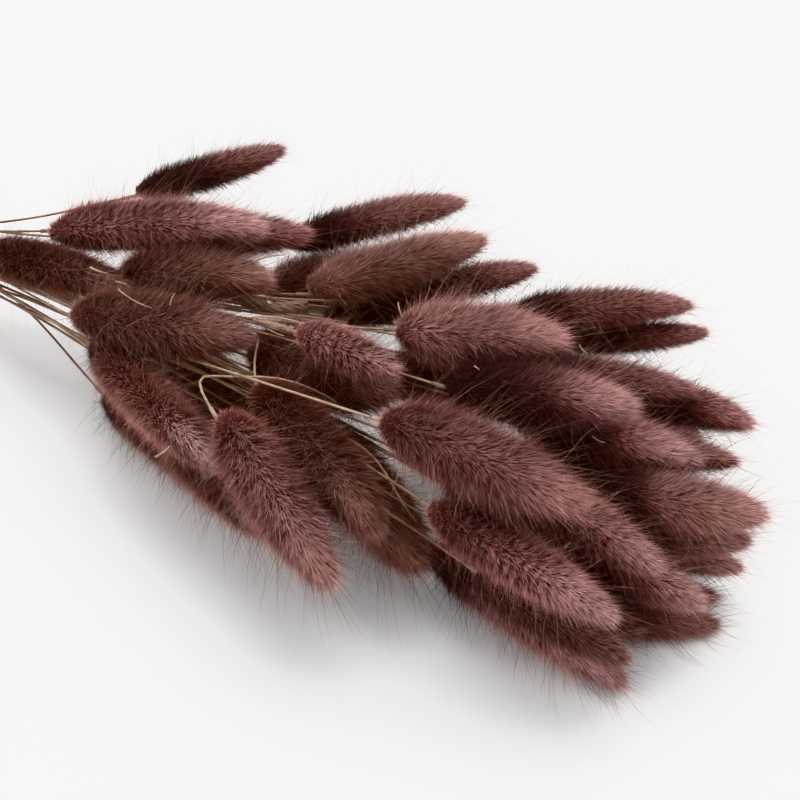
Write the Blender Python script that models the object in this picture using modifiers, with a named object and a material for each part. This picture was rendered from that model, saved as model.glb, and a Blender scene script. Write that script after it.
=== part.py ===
"""A bunch of dried bunny tail grass, tied with twine and lying on its side.

The layout is worked out in millimetres, with the tie above the origin and the heads towards +X.
Each plant is a chain of points that runs from its cut end, through the tie and up its stem, to
the tip of its head. The chains are eased apart until stems and heads lie clear of each other,
and the solids are then made along them. Last, everything is turned into metres and moved so
that the middle of the underside is the origin.
"""
import math
from collections import namedtuple

import bmesh
import bpy
import numpy as np
from mathutils import Matrix, Vector

# The tie
TIE_HEIGHT = 24.0           # middle of the tie above the table
STEM_RADIUS = 0.58
KNOT_RADIUS = 1.5           # where the stems of one group are pressed into each other
KNOT_LENGTH = 5.0
PITCH_IN_KNOT = 1.24        # between the stems of one group in the tie
INNER_KNOTS = 3
INNER_RING = 1.95           # circle on which the inner knots sit
OUTER_KNOTS = 9
OUTER_RING = 5.2
STEMS_PER_KNOT = 4
TIE_HALF = 4.0              # the stems run straight this far on both sides of the tie
TWINE_RADIUS = 1.0
TWINE_TURNS = 3
TWINE_INNER = 7.05          # inside of the twine ring, clear of the outer knots
TWINE_SIDES = 14
TWINE_PITCH = 1.8           # between the turns, in twine radii
TWINE_VALLEY = 1.1          # height between the turns, in twine radii
LUMP_TURN = 55.0            # where the twine's knot sits, in degrees above the near side
LUMP_RISE = 1.6             # height of its middle over the ring's inside, in twine radii
LUMP_SIZE = (2.6, 2.0, 1.9)
END_LENGTHS = (15.0, 12.0)  # the twine's two loose ends
END_TURNS = (-1.0, 1.0)     # the side to which each bends
END_RADIUS = 0.8            # in twine radii
END_ASIDE = (-2.5, -3.0)    # how far an end lies to the side, and how much of it goes by its bend
END_UP = (1.2, -1.4)        # the same for its height over the knot
END_ARCH = (-1.2, 1.8)      # how far its middle bulges to the side of the bend, and upward
END_STRAIGHT = 0.9          # share of its first half that runs straight

# The stems behind the tie
TAIL_LENGTH = 148.0
TAIL_SPREAD_LENGTH = 16.0   # how much longer the longest cut end is
TAIL_FAN = 2.2              # spread of the cut ends, against their places in the tie
TAIL_CROSS = 16.0           # a stem that leaves to one side comes in from the other
TAIL_SCATTER = 12.0         # the part of that spread left to chance
TAIL_PILE = 0.75            # how high the cut ends lie on each other, against the tie
TAIL_LOOSE = 2.0            # the part of that height left to chance
TAIL_NEAR = 0.4             # shares of the tail that run level with the tie and with the table
TAIL_LOW = 0.3
TAIL_DROP = 3.0
TAIL_STEP = 38.0            # between the points of a stem behind the tie

# The stems in front of the tie
NECK_STEP = 24.0            # between the points of such a stem
ROUTED_STEP = 9.0           # the same where a stem bends sharply
NECK_REACH = (0.45, 60.0)   # share and longest run that still follows the tie's direction
SEAT_REACH = (0.3, 18.0)    # share and longest run that already follows the head's direction
ROUTE_LEAD = 20.0           # the same two runs of a stem that bends sharply
ROUTE_SEAT = 15.0
STEM_SIMPLIFY = 0.25        # points that lie this close to a straight run are dropped

# The heads
SECTORS = 8
RINGS = 8
WIDEST_AT = 0.3             # fraction of the head's length
CORE_SHARE = 0.80           # hollows between the tufts, as a share of the head's radius
LEAST_SHARE = 0.3           # a head pressed by others gives way to this share, in small steps
SHARE_STEP = 0.04
TUFT_FORWARD = 1.6          # how far a tuft leans to the tip
SEAT_GAP = 0.35             # between a stem's end and its head
DROOP = 0.03                # arch of a head under its own weight, as a share of its length
AWNS_PER_HEAD = 6
AWN_LENGTH = 10.5
AWN_LENGTHS = (0.8, 1.15)   # shortest and longest, against that length
AWN_BASE = 0.85
AWN_OUT = (0.75, 1.1)       # how far an awn leans out and to the tip
AWN_ALONG = (0.5, 1.0)
AWN_CLEAR = 0.9
AWN_PITCH = 5.0             # awns of one head stand at least this far apart
AWN_FACET = 4.0             # smallest facet that carries an awn
AWN_FACING = 0.45           # and how nearly it faces the awn's way
AWN_RUN = (0.1, 0.97)       # part of the head's length that carries awns
AWN_FLOOR = 0.8
ROOM_REACH = 75.0           # plants further off than this can't touch a head
ROOM_GAP = 0.3
FLOOR_PRESS = 0.66          # share of a head's radius that is left under it where it is pressed flat

# Easing the chains apart
GAP = 0.55
SAME_KNOT_GAP = 0.06
HEAD_PRESS = 0.94           # heads may press into each other's tufts this far
HEAD_GAP = 0.2
HEAD_EASE = 0.25            # how readily a head gives way, against a stem
HEAD_STIFF = 0.2
STEM_STIFF = 0.18
ROUTED_STIFF = 0.02
LENGTH_PULL = 0.9
MOST_PUSH = 6.0
PAIR_REACH = 3.0            # segments this close are watched, and looked up anew every few steps
PAIR_STEPS = 10
STEPS = 260
FREE_STEPS = 90             # the last steps hold no chain to its first place
SETTLE_STEPS = 36           # the last of them only clear what still touches
SEED = 7

# How firmly points are drawn to their first place, across the sight lines and along them
TAIL_HOLD = (0.01, 0.01)
NECK_HOLD = (0.0, 0.0)
ROUTED_HOLD = (0.05, 0.02)
HEAD_HOLD = (0.10, 0.012)

# Sharing out the places in the tie: how much a stem's rise counts against its turn to the side,
# the rise of a middling stem, and where the count round each ring starts
RISE_WEIGHT = 1.7
RISE_MIDDLE = 0.03
INNER_START = 30.0
OUTER_START = -10.0

# The place from which the bunch was measured: pixels of a picture 800 wide and 800 high
VIEW_AZIMUTH = math.radians(25.0)
VIEW_ELEVATION = math.radians(42.0)
VIEW_DISTANCE = 462.0
VIEW_FOCAL = 1778.0
VIEW_MIDDLE = 400.0
TIE_PIXEL = (-75.0, 240.0)
LOOK_HEIGHT = 30.0

# Base and tip in the picture, the width, the heights of base and tip above the table, all by
# eye, and for a stem that bends sharply the points (pixel, height) that it passes. The last nine
# lie under the others and fill the bunch.
Head = namedtuple("Head", "base tip width base_height tip_height route", defaults=((),))
HEADS = (
    Head((134, 190), (292, 155), 11.5, 40, 46),
    Head((47, 228), (272, 234), 15.0, 46, 52),
    Head((160, 240), (312, 236), 11.0, 38, 40),
    Head((120, 276), (272, 284), 15.0, 40, 44),
    Head((72, 318), (256, 346), 15.0, 42, 46),
    Head((-18, 250), (136, 293), 13.5, 38, 44),
    Head((285, 240), (472, 204), 12.5, 34, 36),
    Head((308, 290), (490, 246), 14.5, 44, 44),
    Head((325, 318), (470, 292), 12.0, 32, 30),
    Head((395, 300), (540, 272), 11.0, 30, 30),
    Head((297, 334), (403, 374), 10.5, 54, 53),
    Head((398, 330), (570, 348), 17.0, 54, 55),
    Head((510, 312), (697, 314), 12.0, 32, 30),
    Head((560, 340), (714, 336), 10.0, 25, 23),
    Head((92, 345), (232, 484), 14.0, 32, 34),
    Head((160, 420), (286, 546), 13.5, 28, 26),
    Head((104, 397), (268, 536), 13.0, 3, 0, (((18, 300), 14),)),
    Head((218, 422), (334, 590), 16.0, 44, 30,
         (((330, 402), 38), ((262, 374), 44), ((192, 364), 51), ((196, 380), 51))),
    Head((262, 386), (382, 540), 15.5, 42, 34,
         (((200, 345), 30), ((262, 336), 40), ((245, 362), 46))),
    Head((320, 435), (426, 572), 14.5, 22, 17),
    Head((384, 424), (586, 512), 19.0, 59, 58),
    Head((427, 508), (621, 628), 17.0, 42, 40),
    Head((428, 548), (632, 692), 17.0, 13, 2,
         (((350, 440), 36), ((385, 487), 33), ((410, 522), 25))),
    Head((446, 390), (638, 412), 15.5, 52, 56),
    Head((510, 412), (700, 474), 16.0, 37, 40),
    Head((520, 374), (700, 392), 12.0, 38, 40),
    Head((600, 394), (757, 426), 13.0, 27, 30),
    Head((565, 440), (744, 466), 11.5, 25, 27),
    Head((505, 470), (661, 577), 14.5, 42, 38),
    Head((600, 494), (768, 516), 15.0, 36, 34),
    Head((585, 528), (758, 546), 12.0, 24, 24),
    Head((588, 550), (746, 572), 11.0, 11, 9),
    Head((555, 530), (704, 610), 14.5, 28, 24),
    Head((560, 588), (723, 600), 10.0, 3, 0),
    Head((560, 612), (723, 628), 11.5, 3, 0),
    Head((500, 566), (646, 634), 13.0, 28, 20),
    Head((480, 572), (634, 668), 13.5, 26, 20),
    Head((520, 455), (690, 500), 13.0, 26, 26),
    Head((150, 342), (272, 446), 14.0, 18, 8),
    Head((228, 388), (330, 500), 14.0, 10, 1),
    Head((385, 372), (560, 386), 15.0, 34, 32),
    Head((540, 425), (702, 440), 14.0, 3, 0),
    Head((455, 330), (640, 326), 14.0, 3, 0),
    Head((510, 385), (690, 402), 14.0, 3, 0),
    Head((440, 474), (612, 534), 15.0, 24, 16),
    Head((262, 290), (412, 272), 14.0, 12, 3),
    Head((250, 347), (394, 400), 14.0, 38, 36),
)

# Colours, linear
MAUVE = (0.205, 0.082, 0.078)
MAUVE_DEEP = (0.120, 0.047, 0.045)
STRAW = (0.52, 0.37, 0.22)
TWINE = (0.42, 0.29, 0.16)

# Points along a head at which it is kept clear of the others, and the kinds of points
HEAD_POINTS = (0.03, 0.27, 0.5, 0.75, 0.95)
STEM, HELD, NECK, HEAD = range(4)


# Small vector helpers on arrays of three rows

def dot(a, b):
    return a[0] * b[0] + a[1] * b[1] + a[2] * b[2]


def length(a):
    return np.sqrt(dot(a, a))


def unit(a):
    return a / length(a)


# Reading the picture

def view_axes():
    """Right, up and back of the place from which the bunch was measured."""
    back = np.array([math.sin(VIEW_AZIMUTH) * math.cos(VIEW_ELEVATION),
                     -math.cos(VIEW_AZIMUTH) * math.cos(VIEW_ELEVATION),
                     math.sin(VIEW_ELEVATION)])
    right = np.array([math.cos(VIEW_AZIMUTH), math.sin(VIEW_AZIMUTH), 0.0])
    return right, np.cross(back, right), back


def sight_line(pixel):
    right, up, back = view_axes()
    across = (pixel[0] - VIEW_MIDDLE) / VIEW_FOCAL
    down = (pixel[1] - VIEW_MIDDLE) / VIEW_FOCAL
    return right * across - up * down - back


def find_eye():
    """The eye stands so that the tie, at its height, is seen at its pixel."""
    eye = np.array([0.0, 0.0, LOOK_HEIGHT]) + view_axes()[2] * VIEW_DISTANCE
    line = sight_line(TIE_PIXEL)
    seen = eye + line * ((TIE_HEIGHT - eye[2]) / line[2])
    return eye - np.array([seen[0], seen[1], 0.0])


EYE = find_eye()


def seen_at(pixel, height):
    """The point at a height above the table that is seen at a pixel."""
    line = sight_line(pixel)
    return EYE + line * ((height - EYE[2]) / line[2])


# The form of a head

def head_radius(along):
    """Radius of a head at a fraction of its length, as a share of its largest."""
    if along < WIDEST_AT:
        return math.sqrt(max(0.0, 1.0 - (1.0 - along / WIDEST_AT) ** 2.2))
    return max(0.0, 1.0 - ((along - WIDEST_AT) / (1.0 - WIDEST_AT)) ** 3.0) ** 0.6


# Which stem goes where in the tie

def knot_places():
    """Middles of the knots, across the tie: an inner ring and an outer one."""
    places = []
    for count, ring, first in ((INNER_KNOTS, INNER_RING, 90.0), (OUTER_KNOTS, OUTER_RING, 10.0)):
        for index in range(count):
            angle = math.radians(first + 360.0 * index / count)
            places.append((ring * math.cos(angle), ring * math.sin(angle)))
    return places


def share_out(slopes):
    """Gives each plant a knot and a place in it, so that no stem crosses the bundle.

    The plants that leave the tie most nearly straight fill the inner knots, and the others go
    round the outside by the way they leave.
    """
    size = [math.hypot(y, z) for y, z in slopes]
    turn = [math.degrees(math.atan2(z, y)) for y, z in slopes]
    order = sorted(range(len(slopes)), key=lambda i: size[i])
    inner_count = INNER_KNOTS * STEMS_PER_KNOT - 1
    inner = sorted(order[:inner_count], key=lambda i: (turn[i] - INNER_START) % 360.0)
    outer = sorted(order[inner_count:], key=lambda i: (turn[i] - OUTER_START) % 360.0)
    knot_of = {}
    for place, plant in enumerate(inner):
        knot_of[plant] = min(place // STEMS_PER_KNOT, INNER_KNOTS - 1)
    for place, plant in enumerate(outer):
        knot_of[plant] = INNER_KNOTS + min(place // STEMS_PER_KNOT, OUTER_KNOTS - 1)
    half = PITCH_IN_KNOT / 2.0
    corners = [(-half, -half), (half, -half), (-half, half), (half, half)]
    slot_of = {}
    for knot, middle in enumerate(knot_places()):
        free = list(corners)
        for plant in sorted((p for p in knot_of if knot_of[p] == knot), key=lambda p: -size[p]):
            y, z = slopes[plant]
            corner = max(free, key=lambda c: c[0] * y + c[1] * z)
            free.remove(corner)
            slot_of[plant] = (middle[0] + corner[0], middle[1] + corner[1])
    return knot_of, slot_of


# The first course of each plant

def bezier(start, first, second, end, count=60):
    """Points along one cubic curve."""
    u = np.linspace(0.0, 1.0, count)[:, None]
    return ((1 - u) ** 3 * start + 3 * (1 - u) ** 2 * u * first
            + 3 * (1 - u) * u ** 2 * second + u ** 3 * end)


def through(points, count=16):
    """Points along a smooth curve that passes through all but the first and last given point."""
    out = []
    for a, b, c, d in zip(points, points[1:], points[2:], points[3:]):
        for u in np.linspace(0.0, 1.0, count, endpoint=False):
            out.append(0.5 * (2 * b + (c - a) * u + (2 * a - 5 * b + 4 * c - d) * u ** 2
                              + (3 * b - a - 3 * c + d) * u ** 3))
    out.append(points[-2])
    return np.array(out)


def spaced(course, step):
    """Points at even steps along a course, without its first point."""
    legs = course[1:] - course[:-1]
    run = np.concatenate([[0.0], np.cumsum(length(legs.T))])
    count = max(2, int(round(run[-1] / step)))
    marks = [run[-1] * (index + 1) / count for index in range(count)]
    return [np.array([np.interp(mark, run, course[:, axis]) for axis in range(3)]) for mark in marks]


class Bunch:
    """All plants as chains of points, kept as arrays of three rows."""

    def __init__(self):
        self.points = []
        self.radius = []
        self.plant = []
        self.kind = []
        self.hold_side = []
        self.hold_deep = []
        self.chains = []

    def add(self, point, radius, kind, hold):
        self.points.append(point)
        self.radius.append(radius)
        self.plant.append(len(self.chains))
        self.kind.append(kind)
        self.hold_side.append(hold[0])
        self.hold_deep.append(hold[1])
        return len(self.points) - 1

    def settle(self):
        """Turns the lists into arrays, once all chains are in."""
        self.points = np.round(np.array(self.points).T, 4)
        self.first = self.points.copy()
        self.radius = np.array(self.radius)
        self.plant = np.array(self.plant)
        self.kind = np.array(self.kind)
        self.hold_side = np.array(self.hold_side)
        self.hold_deep = np.array(self.hold_deep)
        self.seg_a = np.concatenate([chain[:-1] for chain in self.chains])
        self.seg_b = np.concatenate([chain[1:] for chain in self.chains])
        self.seg_plant = self.plant[self.seg_a]
        self.rest = length(self.points[:, self.seg_b] - self.points[:, self.seg_a])
        self.ease = np.where(self.kind == HEAD, HEAD_EASE, 1.0) * (self.kind != HELD)


def lay_out():
    """The bunch before it is eased apart."""
    rng = np.random.default_rng(SEED)
    bunch = Bunch()
    bases = [seen_at(head.base, head.base_height) for head in HEADS]
    tips = [seen_at(head.tip, head.tip_height) for head in HEADS]
    slopes = [(base[1] / base[0], RISE_WEIGHT * ((base[2] - TIE_HEIGHT) / base[0] - RISE_MIDDLE))
              for base in bases]
    bunch.knot_of, slot_of = share_out(slopes)
    for index, head in enumerate(HEADS):
        across, upward = slot_of[index]
        held = np.array([0.0, across, TIE_HEIGHT + upward])
        chain = []
        for point in spaced(tail_course(held, slopes[index][0], rng), TAIL_STEP)[::-1]:
            chain.append(bunch.add(point, STEM_RADIUS, STEM, TAIL_HOLD))
        for side in (-TIE_HALF, TIE_HALF):
            chain.append(bunch.add(held + np.array([side, 0.0, 0.0]), STEM_RADIUS, HELD, NECK_HOLD))
        base, tip = bases[index], tips[index]
        size = length(tip - base)
        along = (tip - base) / size
        course = neck_course(held, base, along, head.route)
        step, hold = (ROUTED_STEP, ROUTED_HOLD) if head.route else (NECK_STEP, NECK_HOLD)
        for point in spaced(course, step):
            chain.append(bunch.add(point, STEM_RADIUS, NECK, hold))
        for share in HEAD_POINTS:
            arch = np.array([0.0, 0.0, DROOP * size * 4.0 * share * (1.0 - share)])
            radius = head_radius(share) * head.width / 2.0
            chain.append(bunch.add(base + along * size * share + arch, radius, HEAD, HEAD_HOLD))
        bunch.chains.append(chain)
    bunch.settle()
    return bunch


def tail_course(held, slope, rng):
    """A stem from the tie back to its cut end, which lies low on the table."""
    long_by, side_by, low_by = rng.random(3)
    upward = held[2] - TIE_HEIGHT + OUTER_RING + 1.0
    end = np.array([-TAIL_LENGTH - TAIL_SPREAD_LENGTH * long_by,
                    TAIL_FAN * held[1] + TAIL_SCATTER * (side_by - 0.5) - TAIL_CROSS * slope,
                    STEM_RADIUS + TAIL_PILE * upward + TAIL_LOOSE * low_by])
    start = held - np.array([TIE_HALF, 0.0, 0.0])
    near = start - np.array([TAIL_NEAR * TAIL_LENGTH, 0.0, 0.0])
    low = end + np.array([TAIL_LOW * TAIL_LENGTH, 0.0, TAIL_DROP])
    return bezier(start, near, low, end)


def neck_course(held, base, along, route):
    """A stem from the tie to the base of its head, through the points of its route."""
    leaves = held + np.array([TIE_HALF, 0.0, 0.0])
    seat = base - along * SEAT_GAP
    if route:
        passed = [seen_at(pixel, height) for pixel, height in route]
        lead = leaves - np.array([ROUTE_LEAD, 0.0, 0.0])
        return through([lead, leaves] + passed + [seat, seat + along * ROUTE_SEAT])
    span = length(base - leaves)
    reach = np.array([min(NECK_REACH[0] * span, NECK_REACH[1]), 0.0, 0.0])
    return bezier(leaves, leaves + reach, seat - along * min(SEAT_REACH[0] * span, SEAT_REACH[1]), seat)


# Easing apart

def nearest_shares(p0, p1, q0, q1):
    """Where two segments come nearest, as shares of each."""
    u, v, w = p1 - p0, q1 - q0, p0 - q0
    uu, uv, vv, uw, vw = dot(u, u), dot(u, v), dot(v, v), dot(u, w), dot(v, w)
    spread = uu * vv - uv * uv
    s = np.where(spread > 1e-9, (uv * vw - vv * uw) / np.maximum(spread, 1e-9), 0.5)
    s = np.clip(s, 0.0, 1.0)
    t = np.clip((uv * s + vw) / np.maximum(vv, 1e-12), 0.0, 1.0)
    s = np.clip((uv * t - uw) / np.maximum(uu, 1e-12), 0.0, 1.0)
    return s, t


def close_pairs(bunch, reach):
    """Pairs of segments of unlike plants that lie near each other."""
    a, b = bunch.seg_a, bunch.seg_b
    middle = (bunch.points[:, a] + bunch.points[:, b]) / 2.0
    half = bunch.rest / 2.0 + np.maximum(bunch.radius[a], bunch.radius[b])
    held = (bunch.kind[a] == HELD) & (bunch.kind[b] == HELD)
    firsts, seconds = [], []
    for i in range(len(a)):
        j = np.arange(i + 1, len(a))
        j = j[(bunch.seg_plant[j] != bunch.seg_plant[i]) & ~(held[j] & held[i])]
        apart = middle[:, j] - middle[:, i][:, None]
        j = j[dot(apart, apart) < (half[i] + half[j] + reach) ** 2]
        firsts.append(np.full(len(j), i))
        seconds.append(j)
    return np.concatenate(firsts), np.concatenate(seconds)


def needed(bunch, a1, b1, ra, rb):
    """How far apart the middles of two chains have to be."""
    knots = bunch.knots
    stems = (bunch.kind[a1] != HEAD) & (bunch.kind[b1] != HEAD)
    heads = (bunch.kind[a1] == HEAD) & (bunch.kind[b1] == HEAD)
    same = knots[bunch.plant[a1]] == knots[bunch.plant[b1]]
    need = ra + rb + GAP
    need = np.where(stems & same, ra + rb + SAME_KNOT_GAP, need)
    return np.where(heads, HEAD_PRESS * (ra + rb) + HEAD_GAP, need)


def spread_out(bunch, parts):
    """Moves the points by the mean of what the parts ask, each (points, move, weight)."""
    total = len(bunch.kind)
    move = np.zeros((3, total))
    count = np.zeros(total)
    for index, shift, weight in parts:
        for axis in range(3):
            move[axis] += np.bincount(index, shift[axis], minlength=total)
        count += np.bincount(index, weight, minlength=total)
    bunch.points = bunch.points + move / np.maximum(count, 1.0)


def part_chains(bunch, pairs):
    """Pushes segments apart that are nearer than they may be."""
    first, second = pairs
    a0, a1 = bunch.seg_a[first], bunch.seg_b[first]
    b0, b1 = bunch.seg_a[second], bunch.seg_b[second]
    points, radius, ease = bunch.points, bunch.radius, bunch.ease
    s, t = nearest_shares(points[:, a0], points[:, a1], points[:, b0], points[:, b1])
    apart = (points[:, a0] * (1 - s) + points[:, a1] * s) - (points[:, b0] * (1 - t) + points[:, b1] * t)
    far = length(apart)
    need = needed(bunch, a1, b1, radius[a0] * (1 - s) + radius[a1] * s,
                  radius[b0] * (1 - t) + radius[b1] * t)
    hit = far < need
    if not hit.any():
        return 0.0
    a0, a1, b0, b1, s, t, far, need = (value[hit] for value in (a0, a1, b0, b1, s, t, far, need))
    way = apart[:, hit] / np.maximum(far, 1e-6)
    weight = ease[a0] * (1 - s) ** 2 + ease[a1] * s ** 2 + ease[b0] * (1 - t) ** 2 + ease[b1] * t ** 2
    push = np.minimum((need - far) / np.maximum(weight, 1e-9), MOST_PUSH)
    parts = []
    for index, share, sign in ((a0, 1 - s, 1.0), (a1, s, 1.0), (b0, 1 - t, -1.0), (b1, t, -1.0)):
        parts.append((index, way * (sign * push * share * ease[index]), (share > 0.02) * 1.0))
    spread_out(bunch, parts)
    return float((need - far).max())


def keep_lengths(bunch):
    """Brings every segment back to its length."""
    a, b, ease = bunch.seg_a, bunch.seg_b, bunch.ease
    leg = bunch.points[:, b] - bunch.points[:, a]
    size = length(leg)
    weight = np.maximum(ease[a] + ease[b], 1e-9)
    pull = leg * (LENGTH_PULL * (size - bunch.rest) / weight / np.maximum(size, 1e-9))
    ones = np.ones(len(a))
    spread_out(bunch, ((a, pull * ease[a], ones), (b, -pull * ease[b], ones)))


def straighten(bunch, triples, stiff):
    """Draws each point towards the line between its neighbours."""
    a, b, c = triples
    points, ease = bunch.points, bunch.ease
    before = length(points[:, b] - points[:, a])
    after = length(points[:, c] - points[:, b])
    share = before / np.maximum(before + after, 1e-9)
    move = (points[:, a] * (1 - share) + points[:, c] * share - points[:, b]) * stiff
    ones = np.ones(len(a))
    spread_out(bunch, ((b, move * (ease[b] > 0), ones), (a, -0.5 * move * (ease[a] > 0), ones),
                       (c, -0.5 * move * (ease[c] > 0), ones)))


def draw_back(bunch, share):
    """Draws points to their first place, firmly across the sight lines and lightly along them."""
    error = bunch.first - bunch.points
    line = unit(bunch.first - EYE[:, None])
    deep = line * dot(error, line)
    move = (error - deep) * bunch.hold_side + deep * bunch.hold_deep
    bunch.points = bunch.points + move * share * (bunch.kind != HELD)


def stand_on_table(bunch):
    lowest = np.where(bunch.kind == HEAD, bunch.radius * FLOOR_PRESS, bunch.radius)
    raised = np.maximum(bunch.points[2], lowest)
    bunch.points[2] = np.where(bunch.kind == HELD, bunch.points[2], raised)


def ease_apart(bunch):
    """Relaxes all chains. The points are rounded each step, so that every run ends alike."""
    bunch.knots = np.array([bunch.knot_of[plant] for plant in range(len(bunch.chains))])
    triples = [np.concatenate([chain[i:len(chain) - 2 + i] for chain in bunch.chains]) for i in range(3)]
    routed = np.array([bool(HEADS[plant].route) for plant in bunch.plant]) & (bunch.kind == NECK)
    middle = triples[1]
    stiff = np.where(routed[middle], ROUTED_STIFF, STEM_STIFF)
    stiff = np.where(bunch.kind[middle] == HEAD, HEAD_STIFF, stiff)
    worst = 0.0
    for step in range(STEPS):
        if step % PAIR_STEPS == 0:
            pairs = close_pairs(bunch, PAIR_REACH)
        left = STEPS - step
        draw_back(bunch, min(1.0, max(0.0, (left - FREE_STEPS) / FREE_STEPS)))
        if left > SETTLE_STEPS:
            straighten(bunch, triples, stiff)
        keep_lengths(bunch)
        part_chains(bunch, pairs)
        worst = part_chains(bunch, pairs)
        stand_on_table(bunch)
        bunch.points = np.round(bunch.points, 4)
    return worst


# Courses of the finished chains

def head_course(bunch, plant):
    """A smooth line through a head's points, lengthened to its base and its tip."""
    count = len(HEAD_POINTS)
    marks = [bunch.points[:, index] for index in bunch.chains[plant][-count:]]
    first_gap = HEAD_POINTS[1] - HEAD_POINTS[0]
    last_gap = HEAD_POINTS[-1] - HEAD_POINTS[-2]
    base = marks[0] - (marks[1] - marks[0]) * (HEAD_POINTS[0] / first_gap)
    tip = marks[-1] + (marks[-1] - marks[-2]) * ((1.0 - HEAD_POINTS[-1]) / last_gap)
    line = [base] + marks[1:-1] + [tip]
    return through([2 * line[0] - line[1]] + line + [2 * line[-1] - line[-2]])


def on_course(course, share):
    """Point and direction at a share of a course's length."""
    legs = length((course[1:] - course[:-1]).T)
    run = np.concatenate([[0.0], np.cumsum(legs)]) / legs.sum()
    step = 0.02
    low, high = max(0.0, share - step), min(1.0, share + step)
    here, before, after = (np.array([np.interp(s, run, course[:, axis]) for axis in range(3)])
                           for s in (share, low, high))
    return here, unit(after - before)


def stem_course(bunch, plant, base, along):
    """A stem from its cut end to its head, without the points that a straight run can do without."""
    chain = bunch.chains[plant][:-len(HEAD_POINTS)]
    course = bunch.points[:, chain].T.copy()
    course[-1] = base - along * SEAT_GAP
    held = [i for i, index in enumerate(chain) if bunch.kind[index] == HELD]
    parts = (course[:held[0] + 1], course[held[-1]:])
    return np.concatenate([simplified(part) for part in parts])


def simplified(course):
    """Drops the points that lie within STEM_SIMPLIFY of a straight run."""
    if len(course) < 3:
        return course
    leg = course[-1] - course[0]
    span = max(1e-9, float(length(leg)))
    off = [float(length(np.cross(point - course[0], leg))) / span for point in course]
    far = int(np.argmax(off))
    if off[far] < STEM_SIMPLIFY:
        return course[[0, -1]]
    return np.concatenate([simplified(course[:far + 1])[:-1], simplified(course[far:])])


# Room around a head

class Room:
    """What lies round one plant: the segments of the others, and the awns made so far."""

    def __init__(self, bunch, plant, awns):
        others = np.nonzero(bunch.seg_plant != plant)[0]
        a, b = bunch.seg_a[others], bunch.seg_b[others]
        chain = bunch.chains[plant][-len(HEAD_POINTS):]
        middle = bunch.points[:, chain].mean(axis=1)[:, None]
        near = length((bunch.points[:, a] + bunch.points[:, b]) / 2.0 - middle) < ROOM_REACH
        a, b = a[near], b[near]
        self.start, self.end = bunch.points[:, a], bunch.points[:, b]
        self.thick_a, self.thick_b = bunch.radius[a], bunch.radius[b]
        self.is_head = bunch.kind[b] == HEAD
        self.awns = awns

    def fits(self, point, share):
        """Whether a point of a head, at a share of its radius, is on its own side of all others."""
        spot = point[:, None] + np.zeros_like(self.start)
        _, t = nearest_shares(spot, spot + 1e-6, self.start, self.end)
        far = length(spot - (self.start * (1 - t) + self.end * t))
        thick = self.thick_a * (1 - t) + self.thick_b * t
        room = np.where(self.is_head, thick * share, thick) + ROOM_GAP
        return bool((far >= room).all())

    def clears(self, start, end):
        """Whether an awn between two points stays clear of the other plants and awns."""
        if min(start[2], end[2]) < AWN_FLOOR:
            return False
        p0 = start[:, None] + np.zeros_like(self.start)
        p1 = end[:, None] + np.zeros_like(self.start)
        s, t = nearest_shares(p0, p1, self.start, self.end)
        far = length(p0 * (1 - s) + p1 * s - self.start * (1 - t) - self.end * t)
        thick = self.thick_a * (1 - t) + self.thick_b * t
        if (far < thick + AWN_CLEAR).any():
            return False
        for other_start, other_end in self.awns:
            s, t = nearest_shares(start[:, None], end[:, None], other_start[:, None], other_end[:, None])
            gap = start * (1 - s) + end * s - other_start * (1 - t) - other_end * t
            if float(length(gap)) < AWN_CLEAR + AWN_BASE:
                return False
        return True


# Making the solids, still in millimetres

def new_object(name, mesh, collection):
    thing = bpy.data.objects.new(name, mesh)
    collection.objects.link(thing)
    return thing


def make_material(name, colour, roughness):
    material = bpy.data.materials.new(name)
    material.use_nodes = True
    shader = material.node_tree.nodes["Principled BSDF"]
    shader.inputs["Base Color"].default_value = (*colour, 1.0)
    shader.inputs["Roughness"].default_value = roughness
    shader.inputs["Metallic"].default_value = 0.0
    return material


def tuft_ball(bm):
    """A ball of staggered facets, each raised to a peak. Returns the peaks."""
    bmesh.ops.create_uvsphere(bm, u_segments=SECTORS, v_segments=RINGS, radius=1.0)
    quads = [face for face in bm.faces if len(face.verts) == 4]
    return set(bmesh.ops.poke(bm, faces=quads)["verts"])


def shape_head(bm, peaks, course, width, room):
    """Draws the ball out along a head's course, with its tufts leaning to the tip."""
    for vert in bm.verts:
        place = vert.co.normalized()
        share = 1.0 - math.acos(max(-1.0, min(1.0, place.z))) / math.pi
        turn = math.atan2(place.y, place.x) + share * RINGS * math.pi / SECTORS
        centre, along = on_course(course, share)
        side = unit(np.cross(along, np.array([0.0, 0.0, 1.0])))
        over = np.cross(along, side)
        out = side * math.cos(turn) + over * math.sin(turn)
        is_peak = vert in peaks
        centre = centre + along * (TUFT_FORWARD if is_peak else 0.0)
        full = head_radius(share) * width / 2.0
        part = 1.0 if is_peak else CORE_SHARE
        while part > LEAST_SHARE and not room.fits(centre + out * full * part, part):
            part -= SHARE_STEP
        point = centre + out * full * part
        vert.co = (point[0], point[1], max(0.0, point[2]))


def grow_awn(bm, face, direction, size):
    """Draws a thin needle out of the middle of a facet."""
    edges = sum(edge.calc_length() for edge in face.edges)
    inner = 2.0 * face.calc_area() / edges
    bmesh.ops.inset_individual(bm, faces=[face], thickness=inner - AWN_BASE / (2.0 * math.sqrt(3.0)),
                               use_even_offset=True)
    top = bmesh.ops.poke(bm, faces=[face])["verts"][0]
    top.co = top.co + direction * size


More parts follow.
